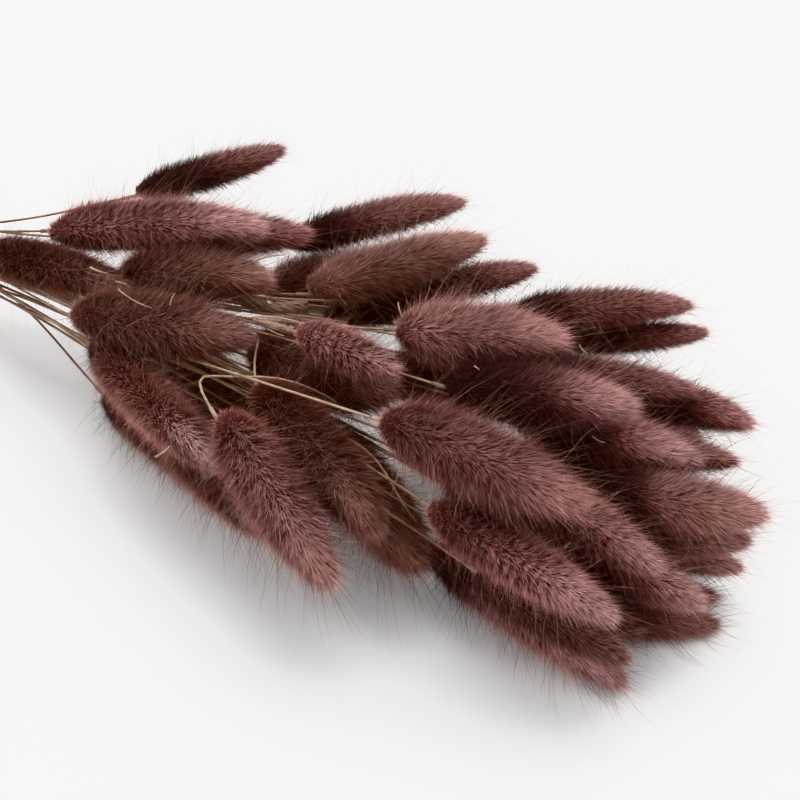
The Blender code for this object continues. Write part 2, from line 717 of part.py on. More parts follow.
def add_awns(bm, course, room, rng):
    """Long bristles that stand out of the head where there is room for them."""
    facets = [face for face in bm.faces if face.calc_area() > AWN_FACET]
    facets.sort(key=lambda face: tuple(round(c, 2) for c in face.calc_center_median()))
    grown = 0
    taken = []
    for index in rng.permutation(len(facets)):
        face = facets[index]
        middle = face.calc_center_median()
        spot = np.array(middle)
        share = nearest_share(course, spot)
        centre, along = on_course(course, share)
        out = unit(spot - centre)
        lean = unit(out * rng.uniform(*AWN_OUT) + along * rng.uniform(*AWN_ALONG))
        size = AWN_LENGTH * rng.uniform(*AWN_LENGTHS)
        end = spot + lean * size
        crowded = any(float(length(spot - other)) < AWN_PITCH for other in taken)
        facing = float(dot(np.array(face.normal), lean)) > AWN_FACING
        in_run = AWN_RUN[0] < share < AWN_RUN[1]
        if crowded or not facing or not in_run or not room.clears(spot, end):
            continue
        grow_awn(bm, face, Vector(lean), size)
        room.awns.append((spot, end))
        taken.append(spot)
        grown += 1
        if grown == AWNS_PER_HEAD:
            break


def nearest_share(course, spot):
    """Share of a course's length at which it passes nearest to a point."""
    far = length((course - spot).T)
    return float(np.argmin(far)) / (len(course) - 1)


def make_head(name, bunch, plant, collection, awns, rng):
    course = head_course(bunch, plant)
    room = Room(bunch, plant, awns)
    bm = bmesh.new()
    peaks = tuft_ball(bm)
    shape_head(bm, peaks, course, HEADS[plant].width, room)
    bmesh.ops.triangulate(bm, faces=bm.faces[:])
    bm.normal_update()
    add_awns(bm, course, room, rng)
    bmesh.ops.triangulate(bm, faces=bm.faces[:])
    mesh = bpy.data.meshes.new(name)
    bm.to_mesh(mesh)
    bm.free()
    thing = new_object(name, mesh, collection)
    colour = [a + (b - a) * rng.random() for a, b in zip(MAUVE_DEEP, MAUVE)]
    thing.data.materials.append(make_material(name, colour, 0.9))
    return course


def tube(points, radius, collection):
    """A closed four-sided tube through the points, as a mesh object."""
    curve = bpy.data.curves.new("tube", "CURVE")
    curve.dimensions = "3D"
    spline = curve.splines.new("POLY")
    spline.points.add(len(points) - 1)
    for mark, point in zip(spline.points, points):
        mark.co = (*point, 1.0)
    curve.bevel_depth = radius
    curve.bevel_resolution = 0
    curve.use_fill_caps = True
    source = new_object("tube", curve, collection)
    made = as_mesh(source, collection)
    bm = bmesh.new()
    bm.from_mesh(made.data)
    bmesh.ops.remove_doubles(bm, verts=bm.verts[:], dist=0.0001)
    bm.to_mesh(made.data)
    bm.free()
    return made


def as_mesh(source, collection):
    """Replaces an object by what its curve or its modifiers make."""
    view = bpy.context.evaluated_depsgraph_get()
    mesh = bpy.data.meshes.new_from_object(source.evaluated_get(view))
    made = new_object(source.name, mesh, collection)
    made.matrix_world = source.matrix_world
    bpy.data.objects.remove(source)
    return made


def joined(core, pieces, name, collection):
    """One solid out of a core and a collection of pieces that reach into it."""
    union = core.modifiers.new("join", "BOOLEAN")
    union.operation = "UNION"
    union.operand_type = "COLLECTION"
    union.collection = pieces
    union.solver = "EXACT"
    made = as_mesh(core, collection)
    made.name = name
    made.data.name = name
    for piece in list(pieces.objects):
        bpy.data.objects.remove(piece)
    return made


def make_stems(name, knot, courses, collection, cutters):
    """The stems of one group, pressed into each other in the tie."""
    across, upward = knot_places()[knot]
    mesh = bpy.data.meshes.new(name)
    bm = bmesh.new()
    lying = Matrix.Rotation(math.radians(90.0), 4, "Y")
    middle = Matrix.Translation((0.0, across, TIE_HEIGHT + upward))
    bmesh.ops.create_cone(bm, cap_ends=True, segments=8, radius1=KNOT_RADIUS, radius2=KNOT_RADIUS,
                          depth=KNOT_LENGTH, matrix=middle @ lying)
    bm.to_mesh(mesh)
    bm.free()
    core = new_object(name, mesh, collection)
    for course in courses:
        tube(course, STEM_RADIUS, cutters)
    made = joined(core, cutters, name, collection)
    made.data.materials.clear()
    made.data.materials.append(make_material(name, STRAW, 0.6))


def twine_profile():
    """Outline of the wound twine, cut along the bundle: flat inside, a bump for each turn."""
    pitch = TWINE_PITCH * TWINE_RADIUS
    half = pitch * TWINE_TURNS / 2.0
    valley = TWINE_INNER + TWINE_VALLEY * TWINE_RADIUS
    outline = [(half, TWINE_INNER), (-half, TWINE_INNER)]
    for turn in range(TWINE_TURNS):
        left = -half + pitch * turn
        outline.append((left, valley))
        outline.append((left + pitch / 2.0, TWINE_INNER + 2.0 * TWINE_RADIUS))
    outline.append((half, valley))
    return outline


def make_binding(collection, cutters):
    """The twine round the stems, with its knot and two loose ends."""
    outline = twine_profile()
    mesh = bpy.data.meshes.new("twine_binding")
    bm = bmesh.new()
    verts = [bm.verts.new((x, 0.0, r)) for x, r in outline]
    for a, b in zip(verts, verts[1:] + verts[:1]):
        bm.edges.new((a, b))
    bm.to_mesh(mesh)
    bm.free()
    ring = new_object("twine_binding", mesh, collection)
    screw = ring.modifiers.new("wind", "SCREW")
    screw.axis = "X"
    screw.steps = TWINE_SIDES
    screw.render_steps = TWINE_SIDES
    screw.use_merge_vertices = True
    screw.merge_threshold = 0.0001
    ring = as_mesh(ring, collection)
    bm = bmesh.new()
    bm.from_mesh(ring.data)
    bmesh.ops.recalc_face_normals(bm, faces=bm.faces[:])
    bm.to_mesh(ring.data)
    bm.free()
    turn = math.radians(LUMP_TURN)
    rise = TWINE_INNER + LUMP_RISE * TWINE_RADIUS
    seat = np.array([0.0, -rise * math.cos(turn), rise * math.sin(turn)])
    lump = bpy.data.meshes.new("knot")
    bm = bmesh.new()
    bmesh.ops.create_uvsphere(bm, u_segments=8, v_segments=6, radius=1.0)
    bmesh.ops.transform(bm, verts=bm.verts[:],
                        matrix=Matrix.Translation(seat) @ Matrix.Diagonal((*LUMP_SIZE, 1.0)))
    bm.to_mesh(lump)
    bm.free()
    new_object("knot", lump, cutters)
    for side, size in zip(END_TURNS, END_LENGTHS):
        end = seat + np.array([-size, END_ASIDE[0] + END_ASIDE[1] * side, END_UP[0] + END_UP[1] * side])
        middle = (seat + end) / 2.0 + np.array([0.0, END_ARCH[0] * side, END_ARCH[1]])
        course = bezier(seat, seat + (middle - seat) * END_STRAIGHT, middle, end, 5)
        tube(course, END_RADIUS * TWINE_RADIUS, cutters)
    ring = joined(ring, cutters, "twine_binding", collection)
    ring.data.transform(Matrix.Translation((0.0, 0.0, TIE_HEIGHT)))
    ring.data.materials.clear()
    ring.data.materials.append(make_material("twine_binding", TWINE, 0.85))


def set_on_origin(things):
    """Moves everything so that the middle of the underside is the origin, in metres."""
    corners = np.array([vert.co for thing in things for vert in thing.data.vertices])
    low, high = corners.min(axis=0), corners.max(axis=0)
    shift = Vector((-(low[0] + high[0]) / 2.0, -(low[1] + high[1]) / 2.0, -low[2]))
    for thing in things:
        thing.data.transform(Matrix.Scale(0.001, 4) @ Matrix.Translation(shift))
        thing.data.update()


def main():
    for thing in list(bpy.data.objects):
        bpy.data.objects.remove(thing)
    collection = bpy.data.collections.new("dried_bunny_tail_grass")
    cutters = bpy.data.collections.new("cutters")
    for group in (collection, cutters):
        bpy.context.scene.collection.children.link(group)
    bunch = lay_out()
    ease_apart(bunch)
    rng = np.random.default_rng(SEED)
    awns = []
    courses = {}
    for plant in range(len(HEADS)):
        head = make_head(f"head_{plant + 1:02d}", bunch, plant, collection, awns, rng)
        along = unit(head[1] - head[0])
        courses[plant] = stem_course(bunch, plant, head[0], along)
    for knot in range(INNER_KNOTS + OUTER_KNOTS):
        members = [courses[plant] for plant in courses if bunch.knot_of[plant] == knot]
        make_stems(f"stems_{knot + 1:02d}", knot, members, collection, cutters)
    make_binding(collection, cutters)
    set_on_origin(list(collection.objects))


main()
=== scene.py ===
"""Looks of a bunch of dried bunny tail grass that lies on a pale table.

Each seed head gets a coat of fine hairs over a dark core, grown by Geometry Nodes from a form
that is measured from the head's solid. The stems become round straw stalks, and the tie becomes
twisted twine. Loose scraps of straw lie on the heads, and torn husks among the stems.
"""
import math

import bmesh
import bpy
import numpy as np
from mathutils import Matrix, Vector
from mathutils.bvhtree import BVHTree


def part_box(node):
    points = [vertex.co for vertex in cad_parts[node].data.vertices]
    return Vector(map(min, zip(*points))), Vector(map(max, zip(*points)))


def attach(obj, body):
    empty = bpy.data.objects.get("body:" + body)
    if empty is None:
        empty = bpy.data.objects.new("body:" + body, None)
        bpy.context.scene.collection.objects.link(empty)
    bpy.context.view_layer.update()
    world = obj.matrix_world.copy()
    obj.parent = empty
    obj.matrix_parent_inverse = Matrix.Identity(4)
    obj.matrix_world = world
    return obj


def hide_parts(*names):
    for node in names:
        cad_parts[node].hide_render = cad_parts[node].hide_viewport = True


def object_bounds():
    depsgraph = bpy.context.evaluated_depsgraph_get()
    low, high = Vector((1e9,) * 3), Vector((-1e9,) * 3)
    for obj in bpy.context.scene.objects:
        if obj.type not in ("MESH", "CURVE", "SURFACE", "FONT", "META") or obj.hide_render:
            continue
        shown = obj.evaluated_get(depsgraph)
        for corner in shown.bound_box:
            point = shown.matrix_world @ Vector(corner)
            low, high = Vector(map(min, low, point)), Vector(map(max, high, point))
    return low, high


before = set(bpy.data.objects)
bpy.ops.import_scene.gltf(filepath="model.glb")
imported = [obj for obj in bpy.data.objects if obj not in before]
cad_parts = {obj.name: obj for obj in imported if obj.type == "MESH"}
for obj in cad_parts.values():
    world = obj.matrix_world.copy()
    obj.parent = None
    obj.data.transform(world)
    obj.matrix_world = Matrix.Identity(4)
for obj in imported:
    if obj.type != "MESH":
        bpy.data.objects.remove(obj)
CAD_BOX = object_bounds()
MM = 0.001
SAME_SPOT = 0.01 * MM       # vertices of a CAD node that lie this close are one

# Camera: its place and the point that it looks at, from the middle of the tie
EYE_FROM_TIE = Vector((304.35, -321.90, 315.14)) * MM
LOOK_FROM_TIE = Vector((159.25, -10.74, 6.0)) * MM
LENS = 80.0
SENSOR = 36.0
FRAME_PIXELS = 800.0        # width of its image, for the places that are given in pixels

# Light and table
SKY_COLOUR = (0.98, 0.985, 1.0, 1.0)
SKY_STRENGTH = 1.25
SOFT_BOX_PLACE = (0.20, 0.32, 1.60)
SOFT_BOX_AIM = (0.08, -0.02, 0.02)
SOFT_BOX_SIZE = 1.4
SOFT_BOX_POWER = 18.0
SOFT_BOX_COLOUR = (1.0, 0.99, 0.97)
TABLE_SIZE = 6.0
TABLE_FINISH = {"Base Color": (0.82, 0.82, 0.815, 1.0), "Roughness": 0.55}

# Outline of a head: where it is widest, and the powers of its curve on both sides of that place
WIDEST_AT = 0.3
BASE_POWER = 2.2
TIP_POWER = 3.0
TIP_ROUNDING = 0.6

# Measuring a head's solid, whose large awns don't belong to its body
AWN_EDGE = 7.5 * MM         # edges this long meet only at an awn's tip
OUTER_PERCENT = 90          # the distance from the axis that so many of the vertices keep within
NEAR_AXIS = 0.6             # within this share of it every vertex is on the body
MEASURED_FROM = 0.15        # stretch of the head along which its radius is measured
MEASURED_TO = 0.9
WIDEST_SPOTS = 20           # the radius is the mean at this many of the outermost vertices

# The dark core of a head
CORE_SHARE = 0.62           # its radius, as a share of the coat's
CORE_START = 0.012          # where it starts along the head
CORE_LENGTH = 0.92          # how far it goes on, as a share of the head's length
CORE_RINGS = 18
CORE_SIDES = 14
END_MARGIN = 0.015          # its ends have the radius of a place this far into the head
END_SPAN = 1.0 - 2.0 * END_MARGIN

# Tufts of the coat
TUFT_PITCH = 2.6 * MM       # from tuft to tuft along a head
TUFT_SPREAD = 2.1 * MM      # from tuft to tuft round it
TUFT_GIRTH = 0.8            # share of the coat's radius at which that is measured
LEAST_GIRTH = 0.3           # tufts don't get narrower than this share of their full width
LEAST_COLUMNS = 6
LEAST_ROWS = 8
TUFT_WOBBLE = 1.8           # how strongly the tufts' borders wander
WOBBLE_SCALE = 330.0

# Hairs. Those near the base and the tip of a head differ from the others.
BASE_STAND = 0.62           # 0 lies along the head, 1 stands straight up
TIP_STAND = 0.50            # share of the usual stand
BASE_LENGTH = 0.48          # share of the usual length
TIP_LENGTH = 0.90
TUFT_LENGTHS = (1.12, 0.85)     # length factors in the middle of a tuft and at its edge
BLADE_TAPER = 0.7
USUAL_RADIUS = 7.2 * MM     # a head this thick has hairs of the lengths that the layers give
FLOOR_CLEAR = 0.15 * MM
CEILING = CAD_BOX[1][2] + 11.5 * MM     # awns reach this far above the solids at most
LAYER_INPUTS = ("Hairs per square metre", "Length", "Length spread", "Width", "Stand", "Stray", "Bend",
                "Droop", "Clump", "Turn", "Awn", "Joints")
LAYERS = (                  # undercoat, top coat, fluff and awns
    (5.5e6, 3.3 * MM, 0.28, 0.19 * MM, 0.56, 0.24, 0.08, 0.00, 0.54, 0.22, 0.0, 2),
    (7.6e6, 4.2 * MM, 0.28, 0.12 * MM, 0.56, 0.24, 0.10, 0.01, 0.54, 0.22, 0.0, 2),
    (1.8e6, 5.8 * MM, 0.30, 0.09 * MM, 0.62, 0.40, 0.12, 0.02, 0.15, 0.50, 0.15, 2),
    (0.36e6, 13.0 * MM, 0.45, 0.115 * MM, 0.68, 0.58, 0.22, 0.03, 0.0, 1.0, 1.0, 3),
)

# Colours of the wool, linear
ROOT = (0.072, 0.020, 0.017, 1.0)
AWN = (0.240, 0.155, 0.125, 1.0)
# painted shade: the colour that the wool takes where little light reaches
PAINTED_SHADE = (0.044, 0.021, 0.019, 1.0)
END_GAINS = (1.30, 1.26, 1.30)      # hair tips are this much brighter at both ends of a head
WOOLS = {                   # middle of a hair, its tip, and how far the hairs draw into tufts
    "mauve_wool": ((0.222, 0.114, 0.102), (0.725, 0.404, 0.367), 0.75),
    "plum_wool": ((0.174, 0.085, 0.076), (0.580, 0.304, 0.277), 0.75),
    "brown_wool": ((0.182, 0.098, 0.082), (0.500, 0.281, 0.239), 0.50),
    "rose_wool": ((0.252, 0.120, 0.110), (0.860, 0.478, 0.449), 0.90),
    # painted light: a paler copy of the wool for the low heads on the open side, where the light falls
    # on them
    "painted_light_wool": ((0.320, 0.178, 0.157), (0.860, 0.520, 0.474), 0.45),
    # painted shade: a darker copy of the wool for the heads that lie in the shade under others
    "painted_shade_wool": ((0.105, 0.052, 0.047), (0.320, 0.170, 0.155), 0.6),
}
WOOL_FINISH = {"Roughness": 0.62, "Specular IOR Level": 0.3, "Sheen Weight": 0.12,
               "Sheen Roughness": 0.5, "Sheen Tint": (1.0, 0.72, 0.70, 1.0)}
PATCH_SCALE = 55.0          # of the paler and darker patches of a coat

# Which head has which wool, by its number. The others are mauve.
HEADS_OF = {
    "plum_wool": (1, 3, 7, 10, 13, 14, 21, 26, 27, 28, 35, 39),
    "brown_wool": (4, 5, 6, 8, 19, 20, 47),
    "rose_wool": (2, 11, 22, 23, 24, 25, 29, 33),
    # painted light: the low heads on the open side get the paler wool
    "painted_light_wool": (15, 16, 17),
    # painted shade: heads in the shade under others get the darker wool
    "painted_shade_wool": (9, 36, 37, 38, 40, 41, 42, 43, 44, 45, 46),
}
FRONT_HEADS = (2, 4, 5, 8, 11, 12, 18, 19, 21, 22, 23, 24, 25, 29)
FRONT_DENSITY = 1.15
DEEP_DENSITY = 0.75
# Coats that lie closer or looser than the others
COAT_SIZES = {3: 1.25, 4: 1.10, 5: 1.10, 12: 0.98, 16: 1.04, 19: 1.10, 20: 1.32, 21: 0.90, 22: 0.78,
              23: 0.84, 25: 0.98, 29: 0.90, 33: 0.92, 36: 0.88, 37: 0.86, 38: 1.45, 39: 1.15,
              41: 1.45, 45: 1.40, 46: 1.25, 47: 1.42}
# Heads that come out from under others, and the share of their length on which shade is painted for it
PAINTED_SHADE_SHARES = {1: 0.70, 7: 0.45, 9: 0.90, 10: 0.60, 13: 0.35, 14: 0.55, 15: 0.15, 17: 0.20, 20: 0.35,
               23: 0.35, 24: 0.80, 25: 0.52, 26: 0.50, 27: 0.45, 28: 0.50, 29: 0.36, 30: 0.32,
               31: 0.42, 32: 0.50, 33: 0.42, 34: 0.50, 35: 0.60}
PAINTED_SHADE_DEPTH = 0.9
PAINTED_SHADE_FROM = 0.35            # the dark fades between these shares of that length
PAINTED_SHADE_TO = 1.4

# How open a place on a coat is to the light, which sets the shade that is painted into the wool
SKIN_SHARE = 0.9            # radius of the heads' shading skins, as a share of their coats'
SHADE_LIFT = 0.8 * MM       # openness is felt this far above the coat
SHADE_RAYS = 20
SHADE_REACH = 38.0 * MM
SHADE_SEED = 11
FLOOR_SHARE = 0.5           # light that comes up from the table, as a share of the sky's

# Straw and twine: pale and dark colour, roughness, and how close the grain is along the bunch,
# as a share of how close it is across
STRAWS = {
    "dry_straw": ((0.44, 0.31, 0.22), (0.17, 0.095, 0.062), 0.42, 0.03),
    "papery_sheath": ((0.42, 0.31, 0.23), (0.20, 0.125, 0.085), 0.6, 0.05),
    "torn_husk": ((0.25, 0.165, 0.125), (0.10, 0.056, 0.042), 0.7, 0.2),
    "jute_twine": ((0.32, 0.215, 0.135), (0.14, 0.086, 0.052), 0.85, 0.6),
}
STRAW_GRAIN = 1400.0
STRAW_BLOTCH = 420.0
STRAW_SPOT = 240.0
STRAW_BUMP = 0.35
BUMP_DEPTH = 0.1 * MM
STRAW_GLOSS = 0.4

# Stalks
STEM_SIDES = 4              # sides of a stem in the CAD nodes
HELD_HALF = 4.0 * MM        # the stems run straight this far on both sides of the tie
RING_BAND = 0.45 * MM       # the stems' rings at that place are found within this distance
RING_SLACK = 0.4 * MM       # the next ring of a stem may lie this far back
TUBE_SIDES = 7
KNUCKLE_PITCH = 80.0 * MM
KNUCKLE_STEP = 3.1 * MM     # each node's knuckles lie this much farther apart than the last one's
KNUCKLE_SIZE = (1.22, 1.5)      # its radius and half length, as shares of the stalk's radius
SLEEVE_RADII = (1.10, 1.20)     # of the papery sleeves, at their bottoms and tops, in the same way
SLEEVE_LENGTHS = (0.5, 1.3)
SLEEVE_SEED = 5

# The tie: where its middle is from the far corner of the twine's box, and the sizes of its twine
TIE_HEIGHT = 24.0 * MM
TIE_FROM_CORNER = (2.7 * MM, 8.823 * MM)
TWINE_TURNS = 3
TURN_STEPS = 36
TWINE_PITCH = 1.85 * MM
TWINE_RING = 8.05 * MM
KNOT_TURN = math.radians(55.0)
KNOT_RISE = 8.9 * MM
KNOT_STEPS = 24
KNOT_SIZES = (0.62 * MM, 0.50 * MM, 0.45 * MM)      # along the bunch, round it and outwards
LOOSE_ENDS = (              # each end from the knot, and how far the middle bows aside, in mm
    ((-15.0, 0.5, 2.6), (0.0, 1.2, 1.8)),
    ((-12.0, -5.5, -0.2), (0.0, -1.2, 1.8)),
)
LOOSE_LIFT = 0.4 * MM       # the loose ends leave the knot outwards

# Scraps of straw: both ends as the camera sees them on an image 800 wide, and their radius in mm
SCRAPS = (
    ((90, 267), (107, 273), 0.34), ((115, 282), (127, 285), 0.30), ((118, 289), (152, 308), 0.20),
    ((170, 305), (175, 293), 0.22), ((155, 457), (170, 446), 0.32), ((255, 261), (285, 255), 0.28),
    ((398, 302), (403, 318), 0.26), ((474, 366), (479, 370), 0.26), ((579, 345), (587, 354), 0.36),
    ((565, 548), (571, 542), 0.32), ((592, 436), (605, 443), 0.30), ((252, 317), (303, 324), 0.30),
    ((254, 319), (284, 336), 0.26),
)
SCRAP_LIFT = 1.3 * MM       # scraps lie this far above the skins of the coats
SCRAP_LEVEL = 50.0 * MM     # height of a scrap that has no head under its ends
SCRAP_BOW = 0.06            # share of its length
SCRAP_POINTS = 7
SCRAP_SIDES = 6
SCRAP_TAPER = 0.5

# Torn husks: both ends on the same image, and in mm their width and the height of the stems there
HUSKS = (
    ((250, 311), (309, 306), 3.6, 33.0),
    ((232, 300), (268, 305), 3.4, 35.0),
    ((252, 320), (292, 331), 2.2, 52.5),
)
HUSK_WALL = 0.07 * MM
HUSK_ROWS = 16
HUSK_COLUMNS = 7
HUSK_NECK = 0.25            # width at its start, as a share of its full one
HUSK_FULL_AT = 0.45         # where along it the full width is reached
HUSK_ARCH = 0.9 * MM
HUSK_WAVER = 0.10           # how far its width, its face and its torn end waver
HUSK_CRINKLE = 0.16 * MM
HUSK_TEAR = 0.03
HUSK_SEED = 5


# Small tools for node trees

def socket(sockets, name):
    """The socket of a name that is in use, because some nodes have hidden ones of the same name."""
    return next(s for s in sockets if s.name == name and s.enabled)


class Tree:
    """A node tree, written as one call a node."""

    def __init__(self, tree):
        self.tree = tree

    def link(self, value, target):
        self.tree.links.new(value, target)

    def add(self, kind, values=None, out=None, **settings):
        """Adds a node, sets or links its inputs, and gives the named output or the first one."""
        node = self.tree.nodes.new(kind)
        for key, value in settings.items():
            setattr(node, key, value)
        for key, value in (values or {}).items():
            target = node.inputs[key] if isinstance(key, int) else socket(node.inputs, key)
            if isinstance(value, bpy.types.NodeSocket):
                self.link(value, target)
            else:
                target.default_value = value
        if out is None:
            return next(s for s in node.outputs if s.enabled)
        return socket(node.outputs, out)

    def math(self, operation, first, second=0.0, third=0.0):
        return self.add("ShaderNodeMath", {0: first, 1: second, 2: third}, operation=operation)

    def times(self, first, second):
        return self.math("MULTIPLY", first, second)

    def between(self, value, low, high, start, end):
        """Maps a value from one range to another, smoothly and without leaving it."""
        return self.add("ShaderNodeMapRange",
                        {"Value": value, "From Min": low, "From Max": high, "To Min": start,
                         "To Max": end}, interpolation_type="SMOOTHSTEP")

    def blend(self, factor, first, second, kind="RGBA", **settings):
        return self.add("ShaderNodeMix", {"Factor": factor, "A": first, "B": second},
                        data_type=kind, **settings)

    def vector(self, operation, first, second=(0.0, 0.0, 0.0)):
        return self.add("ShaderNodeVectorMath", {0: first, 1: second}, operation=operation)

    def scaled(self, vector, factor):
        return self.add("ShaderNodeVectorMath", {0: vector, "Scale": factor}, operation="SCALE")

    def length(self, vector):
        return self.add("ShaderNodeVectorMath", {0: vector}, out="Value", operation="LENGTH")

    def point(self, x=0.0, y=0.0, z=0.0):
        return self.add("ShaderNodeCombineXYZ", {"X": x, "Y": y, "Z": z})

    def parts(self, vector):
        """The outputs X, Y and Z of a vector."""
        return self.add("ShaderNodeSeparateXYZ", {"Vector": vector}).node.outputs

    def noise(self, place, scale, detail, out="Fac"):
        return self.add("ShaderNodeTexNoise", {"Vector": place, "Scale": scale, "Detail": detail},
                        out=out)

    def painted(self, name):
        """An attribute of the mesh, as a material reads it."""
        return self.add("ShaderNodeAttribute", out="Fac", attribute_name=name)

    def place(self):
        return self.add("GeometryNodeInputPosition")

    def named(self, name, kind="FLOAT"):
        """An attribute of the mesh, as a geometry tree reads it."""
        return self.add("GeometryNodeInputNamedAttribute", {"Name": name}, out="Attribute",
                        data_type=kind)

    def store(self, geometry, name, value, kind="FLOAT"):
        return self.add("GeometryNodeStoreNamedAttribute",
                        {"Geometry": geometry, "Name": name, "Value": value},
                        data_type=kind, domain="POINT")

    def moved(self, geometry, **values):
        """Geometry with its points at a new Position, or moved by an Offset."""
        return self.add("GeometryNodeSetPosition", {"Geometry": geometry, **values})

    def real(self, geometry):
        return self.add("GeometryNodeRealizeInstances", {"Geometry": geometry})

    def coated(self, geometry, material):
        return self.add("GeometryNodeSetMaterial", {"Geometry": geometry, "Material": material})

    def joined(self, parts):
        node = self.tree.nodes.new("GeometryNodeJoinGeometry")
        for part in parts:
            self.link(part, node.inputs[0])
        return node.outputs[0]

    def set_on(self, points, piece, rotation, scale):
        """A piece on every point, as real mesh."""
        return self.real(self.add("GeometryNodeInstanceOnPoints", {
            "Points": points, "Instance": piece, "Rotation": rotation, "Scale": scale}))

    def evened(self, paths, step, rounds):
        """Paths with points at even steps and with their corners rounded."""
        paths = self.add("GeometryNodeResampleCurve", {"Curve": paths, "Length": step}, mode="LENGTH")
        even = self.add("GeometryNodeBlurAttribute", {"Value": self.place(), "Iterations": rounds},
                        data_type="FLOAT_VECTOR")
        return self.moved(paths, Position=even)

    def tube(self, paths, sides, thick):
        """A closed tube round paths."""
        ring = self.add("GeometryNodeCurvePrimitiveCircle", {"Resolution": sides, "Radius": 1.0},
                        mode="RADIUS")
        return self.add("GeometryNodeCurveToMesh", {"Curve": paths, "Profile Curve": ring,
                                                    "Scale": thick, "Fill Caps": True})


def new_tree(name, kind, inputs, outputs):
    """A node group with named inputs and outputs, and its two end nodes' sockets."""
    tree = bpy.data.node_groups.new(name, kind)
    for direction, sockets in (("INPUT", inputs), ("OUTPUT", outputs)):
        for label, shape, *value in sockets:
            made = tree.interface.new_socket(label, in_out=direction, socket_type=f"NodeSocket{shape}")
            if value:
                made.default_value = value[0]
    start = tree.nodes.new("NodeGroupInput")
    end = tree.nodes.new("NodeGroupOutput")
    return Tree(tree), start.outputs, end.inputs


# Materials

def new_material(name, finish):
    """A material with its plain finish set, its tree and its shader."""
    material = bpy.data.materials.new(name)
    material.use_nodes = True
    shader = material.node_tree.nodes["Principled BSDF"]
    for label, value in finish.items():
        shader.inputs[label].default_value = value
    return material, Tree(material.node_tree), shader


def wool_group():
    """Colour of a hair by its place along the hair, its own tint and its place on the head, with painted
    shade where little light reaches and in the slits between tufts.
    """
    tree, given, result = new_tree("wool_colour", "ShaderNodeTree", (
        ("Root", "Color", ROOT),
        ("Middle", "Color"),
        ("Tip", "Color"),
        ("Ends", "Color"),
        ("Awn", "Color", AWN),
        ("Sunken", "Color", PAINTED_SHADE),
    ), (("Color", "Color"),))
    along = tree.painted("hair_along")
    tint = tree.painted("hair_tint")
    share = tree.painted("share")
    patch = tree.noise(tree.add("ShaderNodeTexCoord", out="Object"), PATCH_SCALE, 3.0)
    patch = tree.between(patch, 0.38, 0.66, 0.0, 1.0)

    # Rosier tips at both ends of the head, and darker roots between them
    near_ends = tree.math("MAXIMUM", tree.between(share, 0.0, 0.22, 0.5, 0.0),
                          tree.between(share, 0.55, 1.0, 0.0, 1.0))
    rosy = tree.times(near_ends, tree.math("MULTIPLY_ADD", patch, 0.4, 0.6))
    tip = tree.blend(rosy, given["Tip"], given["Ends"])
    rooty = tree.times(tree.between(share, 0.02, 0.20, 0.0, 1.0),
                       tree.between(share, 0.84, 0.96, 1.0, 0.0))
    deep = tree.blend(rooty, given["Middle"], given["Root"])
    lower = tree.blend(tree.between(along, 0.02, 0.30, 0.0, 1.0), deep, given["Middle"])
    upper = tree.blend(tree.between(along, 0.20, 0.75, 0.0, 1.0), lower, tip)
    upper = tree.blend(tree.painted("hair_awn"), upper, given["Awn"])

    # Hairs differ and patches differ, and shade is painted on the edges of the tufts, in the slits
    # between them
    tone = tree.math("MULTIPLY_ADD", tint, 0.30, 0.85)
    tone = tree.times(tone, tree.math("MULTIPLY_ADD", patch, 0.26, 0.84))
    tone = tree.times(tone, tree.between(tree.painted("painted_slit_shade"), 0.45, 1.0, 1.0, 0.62))
    grey = tree.add("ShaderNodeCombineColor", {"Red": tone, "Green": tone, "Blue": tone})
    colour = tree.blend(1.0, upper, grey, blend_type="MULTIPLY")

    # Shade is painted into places that little light reaches: their colour goes over to the painted shade
    # colour
    openness = tree.math("MULTIPLY_ADD", tree.math("SUBTRACT", tint, 0.5), 0.22, tree.painted("open"))
    colour = tree.blend(tree.between(openness, 0.0, 0.66, 0.0, 1.0), given["Sunken"], colour)
    tree.link(colour, result["Color"])
    return tree.tree


def wool_material(name, middle, tip, group):
    material, tree, shader = new_material(name, WOOL_FINISH)
    ends = tuple(min(1.0, part * gain) for part, gain in zip(tip, END_GAINS))
    colour = tree.add("ShaderNodeGroup", {"Middle": (*middle, 1.0), "Tip": (*tip, 1.0),
                                          "Ends": (*ends, 1.0)}, node_tree=group)
    tree.link(colour, shader.inputs["Base Color"])
    return material


def straw_group():
    """Lengthwise streaks and blotches of dry straw, and a height for its grain."""
    tree, given, result = new_tree("straw_grain", "ShaderNodeTree", (
        ("Pale", "Color"),
        ("Dark", "Color"),
        ("Grain", "Float", STRAW_GRAIN),
        ("Stretch", "Float"),
    ), (("Color", "Color"), ("Height", "Float")))
    place = tree.add("ShaderNodeTexCoord", out="Object")
    place_long = tree.vector("MULTIPLY", place, tree.point(given["Stretch"], 1.0, 1.0))
    streaks = tree.noise(place_long, given["Grain"], 3.0)
    blotch = tree.noise(place_long, STRAW_BLOTCH, 2.0)
    spots = tree.noise(place, STRAW_SPOT, 4.0)
    shade = tree.math("MULTIPLY_ADD", tree.between(streaks, 0.35, 0.65, 0.0, 1.0), 0.35,
                      tree.times(tree.between(blotch, 0.35, 0.68, 0.0, 1.0), 0.5))
    shade = tree.math("ADD", shade, tree.between(spots, 0.60, 0.75, 0.0, 0.35))
    shade = tree.math("ADD", tree.math("MULTIPLY_ADD", tree.painted("knuckle"), 0.4, shade),
                      tree.between(tree.painted("dyed"), 0.25, 0.9, -0.15, 0.55))
    shade = tree.math("MAXIMUM", tree.math("MINIMUM", shade, 1.0), 0.0)
    tree.link(tree.blend(shade, given["Pale"], given["Dark"]), result["Color"])
    tree.link(streaks, result["Height"])
    return tree.tree


